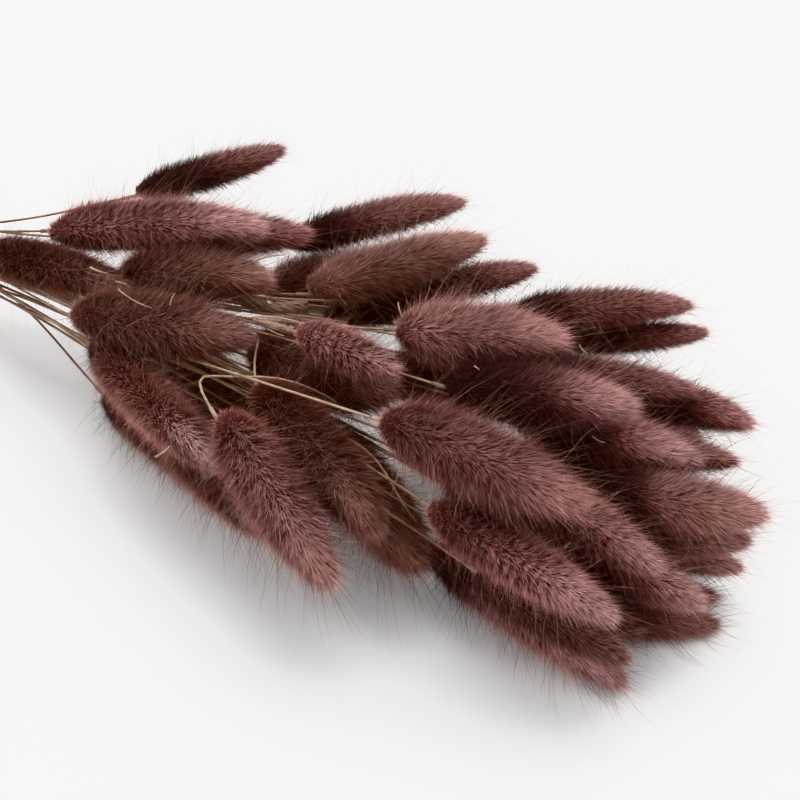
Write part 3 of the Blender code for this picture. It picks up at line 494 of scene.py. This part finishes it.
def straw_material(name, pale, dark, roughness, stretch, group):
    material, tree, shader = new_material(name, {"Roughness": roughness,
                                                 "Specular IOR Level": STRAW_GLOSS})
    colour = tree.add("ShaderNodeGroup", {"Pale": (*pale, 1.0), "Dark": (*dark, 1.0),
                                          "Stretch": stretch}, node_tree=group)
    tree.link(colour, shader.inputs["Base Color"])
    bump = tree.add("ShaderNodeBump", {"Strength": STRAW_BUMP, "Distance": BUMP_DEPTH,
                                       "Height": colour.node.outputs["Height"]})
    tree.link(bump, shader.inputs["Normal"])
    return material


# Pieces

def new_piece(name, data):
    piece = bpy.data.objects.new(name, data)
    bpy.context.scene.collection.objects.link(piece)
    return piece


def plain_mesh(source, name):
    """Replaces an object by the plain mesh that its modifiers make."""
    view = bpy.context.evaluated_depsgraph_get()
    mesh = bpy.data.meshes.new_from_object(source.evaluated_get(view), depsgraph=view)
    mesh.name = name
    bpy.data.objects.remove(source)
    return new_piece(name, mesh)


def apply_tree(source, tree, values, name):
    """Runs a Geometry Nodes tree on an object with some of its inputs set, as a plain mesh."""
    grow = source.modifiers.new("grow", "NODES")
    grow.node_group = tree
    inputs = {item.name: item.identifier for item in tree.interface.items_tree if item.in_out == "INPUT"}
    for label, value in values.items():
        grow[inputs[label]] = value
    return plain_mesh(source, name)


def path_object(paths):
    """A curve object with one straight-sided spline for each path."""
    curve = bpy.data.curves.new("paths", "CURVE")
    curve.dimensions = "3D"
    for path in paths:
        spline = curve.splines.new("POLY")
        spline.points.add(len(path) - 1)
        for mark, point in zip(spline.points, path):
            mark.co = (*point, 1.0)
    return new_piece("paths", curve)


def merged_copy(node):
    """The vertices and edges of a CAD node, with its loose triangles joined."""
    bm = bmesh.new()
    bm.from_mesh(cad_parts[node].data)
    bmesh.ops.remove_doubles(bm, verts=bm.verts[:], dist=SAME_SPOT)
    return bm


def nodes_named(start):
    return sorted(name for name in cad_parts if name.startswith(start))


# The hairs

def blade(tree, joints):
    """One flat hair, a metre long and wide: wide at its root, pointed at its end, along Z."""
    grid = tree.add("GeometryNodeMeshGrid", {"Size X": 1.0, "Size Y": 1.0, "Vertices X": 2,
                                             "Vertices Y": joints})
    place = tree.parts(tree.place())
    along = tree.math("ADD", place["Y"], 0.5)
    stored = tree.store(grid, "hair_along", along)
    taper = tree.math("POWER", tree.math("SUBTRACT", 1.0, along), BLADE_TAPER)
    shaped = tree.moved(stored, Position=tree.point(tree.times(place["X"], taper), 0.0, along))
    return tree.add("GeometryNodeMergeByDistance", {"Geometry": shaped, "Distance": 0.0001})


def hair_layer():
    """Grows hairs of one kind out of a core that knows its way, girth and tuft map."""
    tree, given, result = new_tree("hair_layer", "GeometryNodeTree", (
        ("Core", "Geometry"),
        *((name, "Int" if name == "Joints" else "Float") for name in LAYER_INPUTS),
        ("Seed", "Int"),
    ), (("Hairs", "Geometry"),))
    points = tree.add("GeometryNodeDistributePointsOnFaces",
                      {"Mesh": given["Core"], "Density": given["Hairs per square metre"],
                       "Seed": given["Seed"]}, out="Points")
    normal = socket(points.node.outputs, "Normal")
    way = tree.named("way", "FLOAT_VECTOR")
    across = tree.named("across", "FLOAT_VECTOR")
    share = tree.named("share")

    def chance(low, high, extra):
        """A random number or direction for each hair."""
        kind = "FLOAT_VECTOR" if isinstance(low, tuple) else "FLOAT"
        seed = tree.math("ADD", given["Seed"], extra)
        return tree.add("FunctionNodeRandomValue", {"Min": low, "Max": high, "Seed": seed},
                        out="Value", data_type=kind)

    # Place within the tuft, from its middle
    wobble = tree.vector("SUBTRACT", tree.noise(tree.place(), WOBBLE_SCALE, 1.0, "Color"),
                         (0.5, 0.5, 0.5))
    cell = tree.parts(tree.vector("ADD", tree.named("tufts", "FLOAT_VECTOR"),
                                  tree.scaled(wobble, TUFT_WOBBLE)))
    stagger = tree.times(tree.math("FLOORED_MODULO", tree.math("FLOOR", cell["Y"]), 2.0), 0.5)
    aside = tree.math("SUBTRACT", tree.math("FRACT", tree.math("ADD", cell["X"], stagger)), 0.5)
    ahead = tree.math("SUBTRACT", tree.math("FRACT", cell["Y"]), 0.5)
    edge = tree.times(tree.math("MAXIMUM", tree.math("ABSOLUTE", aside),
                                tree.math("ABSOLUTE", ahead)), 2.0)
    pull = tree.vector("ADD", tree.scaled(across, tree.times(aside, tree.named("girth"))),
                       tree.scaled(way, tree.times(ahead, TUFT_PITCH)))
    past_base = tree.between(share, 0.0, 0.18, 0.0, 1.0)
    clump = tree.times(given["Clump"], past_base)
    pull = tree.scaled(pull, tree.times(clump, -1.0))

    # Direction and length
    stand = tree.times(given["Stand"], tree.between(share, 0.55, 1.0, 1.0, TIP_STAND))
    stand = tree.blend(past_base, BASE_STAND, stand, "FLOAT")
    aim = tree.vector("NORMALIZE", tree.blend(stand, way, normal, "VECTOR"))
    stray = tree.scaled(chance((-1.0, -1.0, -1.0), (1.0, 1.0, 1.0), 1), given["Stray"])
    aim = tree.vector("NORMALIZE", tree.vector("ADD", aim, stray))
    spread = given["Length spread"]
    factor = chance(tree.math("SUBTRACT", 1.0, spread), tree.math("ADD", 1.0, spread), 2)
    small = tree.times(tree.between(share, 0.0, 0.16, BASE_LENGTH, 1.0),
                       tree.between(share, 0.75, 1.0, 1.0, TIP_LENGTH))
    full = tree.times(tree.times(given["Length"], factor), small)
    full = tree.times(full, tree.between(edge, 0.0, 1.0, *TUFT_LENGTHS))
    reach = tree.vector("ADD", tree.scaled(aim, full), pull)
    turned = tree.vector("ADD", normal, tree.scaled(
        chance((-1.0, -1.0, -1.0), (1.0, 1.0, 1.0), 3), given["Turn"]))
    rotation = tree.add("FunctionNodeAxesToRotation", {"Primary Axis": reach, "Secondary Axis": turned},
                        primary_axis="Z", secondary_axis="Y")
    size = tree.point(given["Width"], given["Width"], tree.length(reach))
    sweep = tree.vector("ADD", tree.scaled(way, given["Bend"]),
                        tree.point(z=tree.times(given["Droop"], -1.0)))

    # What the material reads, and the hairs themselves
    kept = tree.store(points, "hair_sweep", tree.scaled(sweep, full), "FLOAT_VECTOR")
    kept = tree.store(kept, "hair_tint", chance(0.0, 1.0, 4))
    kept = tree.store(kept, "hair_awn", given["Awn"])
    # how far a hair is at a tuft's edge, where the wool paints the shade of the slits
    kept = tree.store(kept, "painted_slit_shade", tree.times(edge, past_base))
    hairs = tree.set_on(kept, blade(tree, given["Joints"]), rotation, size)
    along = tree.named("hair_along")
    offset = tree.scaled(tree.named("hair_sweep", "FLOAT_VECTOR"), tree.times(along, along))
    tree.link(tree.moved(hairs, Offset=offset), result["Hairs"])
    return tree.tree


def coat_tree(layer_group):
    """The whole coat: the core, with every layer of hairs on it, kept above the table."""
    tree, given, result = new_tree("woolly_coat", "GeometryNodeTree", (
        ("Core", "Geometry"),
        ("Length", "Float", 1.0),
        ("Clump", "Float", 1.0),
        ("Density", "Float", 1.0),
        ("Seed", "Int"),
        ("Material", "Material"),
    ), (("Coat", "Geometry"),))
    layers = []
    for index, settings in enumerate(LAYERS):
        values = dict(zip(LAYER_INPUTS, settings))
        for name, target in (("Length", "Length"), ("Clump", "Clump"), ("Density", LAYER_INPUTS[0])):
            values[target] = tree.times(given[name], values[target])
        values["Core"] = given["Core"]
        values["Seed"] = tree.math("ADD", given["Seed"], 100.0 * index)
        layers.append(tree.add("GeometryNodeGroup", values, node_tree=layer_group))
    shape = tree.joined(layers + [given["Core"]])
    place = tree.parts(tree.place())
    height = tree.math("MINIMUM", tree.math("MAXIMUM", place["Z"], FLOOR_CLEAR), CEILING)
    shape = tree.moved(shape, Position=tree.point(place["X"], place["Y"], height))
    for name in ("way", "across", "girth", "tufts", "hair_sweep"):
        shape = tree.add("GeometryNodeRemoveAttribute", {"Geometry": shape, "Name": name})
    tree.link(tree.coated(tree.real(shape), given["Material"]), result["Coat"])
    return tree.tree


# Measuring the heads

def head_radius(along):
    """Radius of a head at a share of its length, as a share of its largest."""
    if along < WIDEST_AT:
        return math.sqrt(max(0.0, 1.0 - (1.0 - along / WIDEST_AT) ** BASE_POWER))
    past = (along - WIDEST_AT) / (1.0 - WIDEST_AT)
    return max(0.0, 1.0 - past ** TIP_POWER) ** TIP_ROUNDING


def open_radius(share):
    """The same, but for the very ends, which have some radius too."""
    return head_radius(END_MARGIN + END_SPAN * share)


def smooth_step(value, low, high):
    t = min(1.0, max(0.0, (value - low) / (high - low)))
    return t * t * (3.0 - 2.0 * t)


class HeadForm:
    """Centreline and radius of a head, measured from its solid."""

    def __init__(self, node, tie):
        bm = merged_copy(node)
        spots = np.array([vert.co for vert in bm.verts])
        shortest = np.array([min(edge.calc_length() for edge in vert.link_edges) for vert in bm.verts])
        bm.free()
        middle = spots.mean(axis=0)
        axis = np.linalg.svd(spots - middle)[2][0]
        for _ in range(2):
            run = (spots - middle) @ axis
            off = np.linalg.norm(spots - middle - run[:, None] * axis, axis=1)
            body = (shortest < AWN_EDGE) | (off < NEAR_AXIS * np.percentile(off, OUTER_PERCENT))
            middle = spots[body].mean(axis=0)
            axis = np.linalg.svd(spots[body] - middle)[2][0]
        ends = [middle + axis * value for value in (run[body].min(), run[body].max())]
        if np.linalg.norm(ends[0] - tie) > np.linalg.norm(ends[1] - tie):
            axis = -axis
        run = (spots[body] - middle) @ axis
        self.start, self.length = run.min(), run.max() - run.min()
        self.middle, self.axis = middle, axis
        share = (run - self.start) / self.length
        side = spots[body] - middle - run[:, None] * axis
        basis = np.stack([np.ones_like(share), share, share ** 2], axis=1)
        self.sway = np.linalg.lstsq(basis, side, rcond=None)[0]
        off = np.linalg.norm(side - basis @ self.sway, axis=1)
        inside = (share > MEASURED_FROM) & (share < MEASURED_TO)
        ratio = off[inside] / np.array([head_radius(value) for value in share[inside]])
        self.radius = float(np.sort(ratio)[-WIDEST_SPOTS:].mean())

    def at(self, share):
        """Point, direction, and two directions across at a share of the length."""
        basis = np.array([1.0, share, share * share])
        point = self.middle + self.axis * (self.start + share * self.length) + basis @ self.sway
        slope = self.axis * self.length + np.array([0.0, 1.0, 2.0 * share]) @ self.sway
        along = slope / np.linalg.norm(slope)
        side = np.cross(along, (0.0, 0.0, 1.0))
        side = side / np.linalg.norm(side)
        return point, along, side, np.cross(side, along)


class Surroundings:
    """Plain skins of all the coats, which tell how open a place is to the light, for the shade that is
    painted into the wool.
    """

    def __init__(self, forms):
        points, faces = [], []
        for form in forms:
            first = len(points)
            for index in range(CORE_RINGS + 1):
                share = index / CORE_RINGS
                point, _, side, up = form.at(share)
                radius = SKIN_SHARE * form.radius * open_radius(share)
                for step in range(CORE_SIDES):
                    turn = math.tau * step / CORE_SIDES
                    points.append(point + radius * (side * math.cos(turn) + up * math.sin(turn)))
            for index in range(CORE_RINGS):
                for step in range(CORE_SIDES):
                    low = first + index * CORE_SIDES
                    follow = (step + 1) % CORE_SIDES
                    faces.append((low + step, low + follow, low + CORE_SIDES + follow,
                                  low + CORE_SIDES + step))
        self.skins = BVHTree.FromPolygons(points, faces)
        rays = np.random.default_rng(SHADE_SEED).normal(size=(SHADE_RAYS, 3))
        self.rays = [Vector(ray).normalized() for ray in rays]

    def openness(self, spot, outward):
        """Share of the light that other heads let through to a spot."""
        seen = total = 0.0
        for ray in self.rays:
            way = ray + outward
            weight = 1.0 if way.z > 0.0 else FLOOR_SHARE
            total += weight
            if self.skins.ray_cast(spot, way, SHADE_REACH)[0] is None:
                seen += weight
        return seen / total

    def spot_seen(self, eye, way):
        """Place just above the first coat on a line, or None past the heads."""
        hit = self.skins.ray_cast(eye, way)[0]
        return None if hit is None else hit - way * SCRAP_LIFT


# Dressing the heads

def core_mesh(form, surroundings, painted_shade_share):
    """The dark core of a head, which carries the maps that the hairs follow and the openness to light by
    which shade is painted into the wool.
    """
    mesh = bpy.data.meshes.new("core")
    bm = bmesh.new()
    tuft_layer = bm.loops.layers.float_vector.new("tufts")
    way_layer = bm.verts.layers.float_vector.new("way")
    across_layer = bm.verts.layers.float_vector.new("across")
    share_layer = bm.verts.layers.float.new("share")
    girth_layer = bm.verts.layers.float.new("girth")
    open_layer = bm.verts.layers.float.new("open")
    girth = math.tau * form.radius * TUFT_GIRTH
    columns = max(LEAST_COLUMNS, round(girth / TUFT_SPREAD))
    rows = max(LEAST_ROWS, round(form.length / TUFT_PITCH))

    def vert_at(share, turn):
        place = share * CORE_LENGTH + CORE_START
        point, along, side, up = form.at(place)
        out = side * math.cos(turn) + up * math.sin(turn)
        vert = bm.verts.new(point + out * (form.radius * CORE_SHARE * open_radius(share)))
        vert[way_layer] = Vector(along)
        vert[across_layer] = Vector(np.cross(along, out))
        vert[share_layer] = share
        vert[girth_layer] = girth * max(LEAST_GIRTH, head_radius(share)) / columns
        # how open this place is to the light; the wool paints shade by it
        skin = form.radius * head_radius(place) + SHADE_LIFT
        openness = surroundings.openness(Vector(point + out * skin), Vector(out))
        # Painted shade on the stretch of a head that comes out from under others
        if painted_shade_share:
            lit = smooth_step(share, PAINTED_SHADE_FROM * painted_shade_share, PAINTED_SHADE_TO * painted_shade_share)
            openness *= 1.0 - PAINTED_SHADE_DEPTH * (1.0 - lit)
        vert[open_layer] = openness
        return vert

    rings = []
    for index in range(CORE_RINGS + 1):
        share = index / CORE_RINGS
        rings.append([vert_at(share, math.tau * step / CORE_SIDES) for step in range(CORE_SIDES)])
    for index, (low, high) in enumerate(zip(rings, rings[1:])):
        for step in range(CORE_SIDES):
            follow = (step + 1) % CORE_SIDES
            face = bm.faces.new((low[step], low[follow], high[follow], high[step]))
            corners = ((step, index), (step + 1, index), (step + 1, index + 1), (step, index + 1))
            for loop, (around, along) in zip(face.loops, corners):
                spot = (columns * around / CORE_SIDES, rows * along / CORE_RINGS, 0.0)
                loop[tuft_layer] = Vector(spot)
    for ring, order in ((rings[0], -1), (rings[-1], 1)):
        face = bm.faces.new(ring[::order])
        for loop in face.loops:
            loop[tuft_layer] = Vector((0.0, 0.0 if order < 0 else rows, 0.0))
    bmesh.ops.recalc_face_normals(bm, faces=bm.faces[:])
    for face in bm.faces:
        face.smooth = True
    bm.to_mesh(mesh)
    bm.free()
    return mesh


def wool_of(number):
    """Name of the wool of a head."""
    return next((name for name, heads in HEADS_OF.items() if number in heads), "mauve_wool")


def density_of(number):
    """How densely the hairs of a head stand. Fewer are needed where little shows."""
    if number in FRONT_HEADS:
        return FRONT_DENSITY
    return DEEP_DENSITY if wool_of(number) == "painted_shade_wool" else 1.0


def dress_head(node, number, form, surroundings, coat, material, clump):
    """Grows the coat of one head and lets it stand for the head's solid."""
    core = core_mesh(form, surroundings, PAINTED_SHADE_SHARES.get(number))
    piece = apply_tree(new_piece("core", core), coat,
                       {"Length": form.radius / USUAL_RADIUS, "Clump": clump,
                        "Density": density_of(number), "Seed": 1000 * number, "Material": material},
                       f"woolly_head_{number:02d}")
    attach(piece, "root")
    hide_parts(node)


# Stalks

def stalk_tree():
    """Round stalks along paths, thinner towards their far end, with knuckles and short sheaths."""
    tree, given, result = new_tree("straw_stalks", "GeometryNodeTree", (
        ("Paths", "Geometry"),
        ("Radius", "Float", 0.47 * MM),
        ("Far radius", "Float", 0.34 * MM),
        ("Step", "Float", 4.5 * MM),
        ("Knuckle pitch", "Float", KNUCKLE_PITCH),
        ("Sheath length", "Float", 9.0 * MM),
        ("Seed", "Int"),
        ("Material", "Material"),
        ("Sheath material", "Material"),
    ), (("Stalks", "Geometry"),))
    radius = given["Radius"]
    paths = tree.evened(given["Paths"], given["Step"], 2)
    stem = tree.add("GeometryNodeCurveOfPoint", out="Curve Index")
    paths = tree.store(paths, "dyed", tree.add("FunctionNodeRandomValue", {
        "Min": 0.0, "Max": 1.0, "ID": stem, "Seed": given["Seed"]}, out="Value", data_type="FLOAT"))
    along = tree.add("GeometryNodeSplineParameter", out="Factor")
    tubes = tree.tube(paths, TUBE_SIDES, tree.blend(along, radius, given["Far radius"], "FLOAT"))
    tubes = tree.coated(tubes, given["Material"])

    # Knuckles: short swellings, each with a papery sleeve that opens away from it
    marks = tree.add("GeometryNodeCurveToPoints", {"Curve": paths, "Length": given["Knuckle pitch"]},
                     mode="LENGTH", out="Points")
    tangent = socket(marks.node.outputs, "Tangent")
    rotation = tree.add("FunctionNodeAlignRotationToVector", {"Vector": tangent}, axis="Z")
    wide, long = (tree.times(radius, share) for share in KNUCKLE_SIZE)
    lump = tree.add("GeometryNodeMeshUVSphere", {"Segments": 8, "Rings": 5, "Radius": 1.0}, out="Mesh")
    lumps = tree.set_on(marks, lump, rotation, tree.point(wide, wide, long))
    lumps = tree.coated(tree.store(lumps, "knuckle", 1.0), given["Material"])
    sleeve = tree.add("GeometryNodeMeshCone", {
        "Vertices": 9, "Side Segments": 4, "Radius Bottom": SLEEVE_RADII[0],
        "Radius Top": SLEEVE_RADII[1], "Depth": 1.0}, fill_type="NONE", out="Mesh")
    length = tree.add("FunctionNodeRandomValue", {
        "Min": SLEEVE_LENGTHS[0], "Max": SLEEVE_LENGTHS[1], "Seed": SLEEVE_SEED}, out="Value",
        data_type="FLOAT")
    fitted = tree.point(radius, radius, tree.times(length, given["Sheath length"]))
    sleeves = tree.coated(tree.set_on(marks, sleeve, rotation, fitted), given["Sheath material"])
    smooth = tree.add("GeometryNodeSetShadeSmooth", {"Geometry": tree.joined((sleeves, lumps, tubes))})
    tree.link(tree.real(smooth), result["Stalks"])
    return tree.tree


def linked_rings(ring, side):
    """Middles of the rings of one stem's tube, walked from one ring away from the tie."""
    seen = set(ring)
    limit = side * sum(vert.co.x for vert in ring) / len(ring) - RING_SLACK
    middles = []
    while len(ring) == STEM_SIDES:
        middles.append(sum((vert.co for vert in ring), Vector()) / STEM_SIDES)
        near = {edge.other_vert(vert) for vert in ring for edge in vert.link_edges} - seen
        ring = [vert for vert in near if side * vert.co.x > limit]
        seen.update(ring)
    return middles


def joined_verts(start, band):
    """The vertices of a band that edges within it join to one of them."""
    group = {start}
    waiting = [start]
    while waiting:
        vert = waiting.pop()
        for edge in vert.link_edges:
            other = edge.other_vert(vert)
            if other in band and other not in group:
                group.add(other)
                waiting.append(other)
    return group


def stalk_paths(node, tie):
    """Centrelines of the stems of one CAD node, from cut end to head."""
    bm = merged_copy(node)
    ends = {}
    for side in (-1.0, 1.0):
        edge_x = tie.x + side * HELD_HALF
        band = [vert for vert in bm.verts if abs(vert.co.x - edge_x) < RING_BAND]
        ends[side] = []
        while band:
            group = joined_verts(band[0], band)
            band = [vert for vert in band if vert not in group]
            if len(group) == STEM_SIDES:
                ends[side].append(linked_rings(list(group), side))
    bm.free()
    paths = []
    for tail in ends[-1.0]:
        front = min(ends[1.0], key=lambda line: (line[0].yz - tail[0].yz).length)
        paths.append(tail[::-1] + front)
    return paths


def dress_stems(node, number, tie, tree, stalk, sheath):
    """Round stalks for the stems of one CAD node."""
    piece = apply_tree(path_object(stalk_paths(node, tie)), tree,
                       {"Material": stalk, "Sheath material": sheath,
                        "Knuckle pitch": KNUCKLE_PITCH + KNUCKLE_STEP * number, "Seed": number},
                       f"straw_stalks_{number:02d}")
    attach(piece, "root")
    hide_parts(node)


# Twine

def middle_of_tie():
    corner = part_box("twine_binding")[1]
    return Vector((corner[0] - TIE_FROM_CORNER[0], corner[1] - TIE_FROM_CORNER[1], TIE_HEIGHT))


def twine_tree():
    """Twine of two strands that turn round each other along a path."""
    tree, given, result = new_tree("twisted_twine", "GeometryNodeTree", (
        ("Paths", "Geometry"),
        ("Strand offset", "Float", 0.46 * MM),
        ("Strand radius", "Float", 0.54 * MM),
        ("Lay", "Float", 4.2 * MM),
        ("Step", "Float", 0.55 * MM),
        ("Material", "Material"),
    ), (("Twine", "Geometry"),))
    paths = tree.evened(given["Paths"], given["Step"], 3)
    run = tree.add("GeometryNodeSplineParameter", out="Length")
    normal = tree.add("GeometryNodeInputNormal", out="Normal")
    side = tree.vector("CROSS_PRODUCT", tree.add("GeometryNodeInputTangent"), normal)
    strands = []
    for phase in (0.0, math.pi):
        turn = tree.math("MULTIPLY_ADD", tree.math("DIVIDE", run, given["Lay"]), math.tau, phase)
        aside = tree.vector("ADD", tree.scaled(normal, tree.math("COSINE", turn)),
                            tree.scaled(side, tree.math("SINE", turn)))
        strand = tree.moved(paths, Offset=tree.scaled(aside, given["Strand offset"]))
        strands.append(tree.tube(strand, TUBE_SIDES, given["Strand radius"]))
    smooth = tree.add("GeometryNodeSetShadeSmooth", {"Geometry": tree.joined(strands)})
    tree.link(tree.coated(tree.real(smooth), given["Material"]), result["Twine"])
    return tree.tree


def twine_paths(tie):
    """The turns round the stems, and the knot with its two loose ends."""
    turns = []
    for index in range(TURN_STEPS * TWINE_TURNS + 1):
        angle = KNOT_TURN + math.tau * index / TURN_STEPS
        ahead = TWINE_PITCH * (index / TURN_STEPS - TWINE_TURNS / 2.0)
        turns.append(tie + Vector((ahead, -TWINE_RING * math.cos(angle), TWINE_RING * math.sin(angle))))
    along = Vector((1.0, 0.0, 0.0))
    outward = Vector((0.0, -math.cos(KNOT_TURN), math.sin(KNOT_TURN)))
    round_by = Vector((0.0, math.sin(KNOT_TURN), math.cos(KNOT_TURN)))
    seat = tie + outward * KNOT_RISE
    knot = []
    for index in range(KNOT_STEPS + 1):
        t = math.tau * index / KNOT_STEPS
        knot.append(seat + along * (math.sin(t) + 2.0 * math.sin(2.0 * t)) * KNOT_SIZES[0]
                    + round_by * (math.cos(t) - 2.0 * math.cos(2.0 * t)) * KNOT_SIZES[1]
                    - outward * math.sin(3.0 * t) * KNOT_SIZES[2])
    ends = []
    for from_knot, bow in LOOSE_ENDS:
        end = seat + Vector(from_knot) * MM
        middle = (seat + end) / 2.0 + Vector(bow) * MM
        lifted = seat.lerp(middle, 0.5) + outward * LOOSE_LIFT
        ends.append([seat, lifted, middle, middle.lerp(end, 0.6), end])
    return [turns, knot] + ends


def dress_tie(tie, material):
    """Twisted twine for the tie."""
    piece = apply_tree(path_object(twine_paths(tie)), twine_tree(), {"Material": material},
                       "twisted_twine_tie")
    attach(piece, "root")
    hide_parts("twine_binding")


# Scraps of straw and husk

def sight_line(camera, pixel):
    """Direction from the camera through a place on its image."""
    across = (pixel[0] / FRAME_PIXELS - 0.5) * SENSOR / LENS
    down = (pixel[1] / FRAME_PIXELS - 0.5) * SENSOR / LENS
    return (camera.rotation_euler.to_matrix() @ Vector((across, -down, -1.0))).normalized()


def at_height(camera, pixel, height):
    """Place at a height that the camera sees at a place on its image."""
    line = sight_line(camera, pixel)
    return camera.location + line * ((height - camera.location.z) / line.z)


def scrap_ends(camera, surroundings, pixels):
    """Both ends of a scrap, as far away as the nearer of the two coats, or on the stems."""
    eye = camera.location
    lines = [sight_line(camera, pixel) for pixel in pixels]
    spots = [surroundings.spot_seen(eye, line) for line in lines]
    reaches = [(spot - eye).length for spot in spots if spot]
    if not reaches:
        reaches = [(SCRAP_LEVEL - eye.z) / lines[0].z]
    return [eye + line * min(reaches) for line in lines]


def scrap_tree():
    """Thin straws along paths, thinner towards their far end."""
    tree, given, result = new_tree("straw_scraps", "GeometryNodeTree", (
        ("Paths", "Geometry"),
        ("Material", "Material"),
    ), (("Scraps", "Geometry"),))
    along = tree.add("GeometryNodeSplineParameter", out="Factor")
    taper = tree.blend(along, 1.0, SCRAP_TAPER, "FLOAT")
    thick = tree.times(tree.add("GeometryNodeInputRadius"), taper)
    tubes = tree.tube(given["Paths"], SCRAP_SIDES, thick)
    smooth = tree.add("GeometryNodeSetShadeSmooth", {"Geometry": tubes})
    tree.link(tree.coated(tree.real(smooth), given["Material"]), result["Scraps"])
    return tree.tree


def strew_scraps(camera, surroundings, material):
    """Loose bits of straw that are caught on the heads."""
    paths = []
    for index, (start, end, _) in enumerate(SCRAPS):
        first, last = scrap_ends(camera, surroundings, (start, end))
        bow = (last - first).length * SCRAP_BOW * (-1.0) ** index
        aside = (last - first).cross(camera.location - first).normalized() * bow
        paths.append([first.lerp(last, t) + aside * (4.0 * t * (1.0 - t))
                      for t in np.linspace(0, 1, SCRAP_POINTS)])
    source = path_object(paths)
    for spline, (_, _, radius) in zip(source.data.splines, SCRAPS):
        for mark in spline.points:
            mark.radius = radius * MM
    piece = apply_tree(source, scrap_tree(), {"Material": material}, "straw_scraps")
    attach(piece, "root")


def lay_husk(number, camera, material):
    """A torn, crinkled leaf sheath on the stems."""
    start, end, broad, height = HUSKS[number]
    first, last = (at_height(camera, pixel, height * MM) for pixel in (start, end))
    toward = (camera.location - first).normalized()
    way = last - first
    side = way.cross(toward).normalized()
    chance = np.random.default_rng(HUSK_SEED + number)
    bm = bmesh.new()
    grid = []
    for row in range(HUSK_ROWS + 1):
        t = row / HUSK_ROWS
        width = HUSK_NECK + (1.0 - HUSK_NECK) * smooth_step(t, 0.0, HUSK_FULL_AT)
        width *= broad * MM * (1.0 + chance.normal(0.0, HUSK_WAVER))
        line = []
        for column in range(HUSK_COLUMNS + 1):
            v = 2.0 * column / HUSK_COLUMNS - 1.0
            arch = HUSK_ARCH * (1.0 - v * v) + chance.normal(0.0, HUSK_CRINKLE)
            torn = chance.normal(0.0, HUSK_TEAR) * way if row == HUSK_ROWS else Vector()
            spot = first + way * t + side * (v * width / 2.0) + toward * arch + torn
            line.append(bm.verts.new(spot))
        grid.append(line)
    for low, high in zip(grid, grid[1:]):
        for column in range(HUSK_COLUMNS):
            bm.faces.new((low[column], low[column + 1], high[column + 1], high[column]))
    mesh = bpy.data.meshes.new("husk")
    bmesh.ops.recalc_face_normals(bm, faces=bm.faces[:])
    bm.to_mesh(mesh)
    bm.free()
    mesh.materials.append(material)
    source = new_piece("husk", mesh)
    wall = source.modifiers.new("wall", "SOLIDIFY")
    wall.thickness = HUSK_WALL
    piece = plain_mesh(source, f"papery_husk_{number + 1}")
    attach(piece, "root")


# Camera, light and table

def aim_at(thing, target):
    thing.rotation_euler = (Vector(target) - thing.location).to_track_quat("-Z", "Y").to_euler()


def set_camera(tie):
    data = bpy.data.cameras.new("camera")
    data.lens = LENS
    data.sensor_width = SENSOR
    camera = new_piece("camera", data)
    camera.location = tie + EYE_FROM_TIE
    aim_at(camera, tie + LOOK_FROM_TIE)
    bpy.context.scene.camera = camera
    return camera


def set_light():
    """A bright sky all round, and a large soft box overhead."""
    world = bpy.data.worlds.new("studio")
    bpy.context.scene.world = world
    world.use_nodes = True
    background = world.node_tree.nodes["Background"]
    background.inputs["Color"].default_value = SKY_COLOUR
    background.inputs["Strength"].default_value = SKY_STRENGTH
    data = bpy.data.lights.new("soft_box", "AREA")
    data.shape = "DISK"
    data.size = SOFT_BOX_SIZE
    data.energy = SOFT_BOX_POWER
    data.color = SOFT_BOX_COLOUR
    light = new_piece("soft_box", data)
    light.location = SOFT_BOX_PLACE
    aim_at(light, SOFT_BOX_AIM)
    bpy.context.scene.view_settings.view_transform = "Khronos PBR Neutral"


def lay_table():
    bpy.ops.mesh.primitive_plane_add(size=TABLE_SIZE)
    table = bpy.context.object
    table.name = "table"
    table.data.materials.append(new_material("table_white", TABLE_FINISH)[0])


def main():
    tie = middle_of_tie()
    camera = set_camera(tie)
    set_light()
    lay_table()

    wool = wool_group()
    wools = {name: (wool_material(name, middle, tip, wool), clump)
             for name, (middle, tip, clump) in WOOLS.items()}
    coat = coat_tree(hair_layer())
    heads = nodes_named("head_")
    forms = [HeadForm(node, np.array(tie)) for node in heads]
    for number, form in enumerate(forms, 1):
        form.radius *= COAT_SIZES.get(number, 1.0)
    surroundings = Surroundings(forms)
    for number, (node, form) in enumerate(zip(heads, forms), 1):
        dress_head(node, number, form, surroundings, coat, *wools[wool_of(number)])

    grain = straw_group()
    straws = {name: straw_material(name, *look, grain) for name, look in STRAWS.items()}
    stalks = stalk_tree()
    for number, node in enumerate(nodes_named("stems_"), 1):
        dress_stems(node, number, tie, stalks, straws["dry_straw"], straws["papery_sheath"])
    dress_tie(tie, straws["jute_twine"])
    strew_scraps(camera, surroundings, straws["dry_straw"])
    for number in range(len(HUSKS)):
        lay_husk(number, camera, straws["torn_husk"])


main()
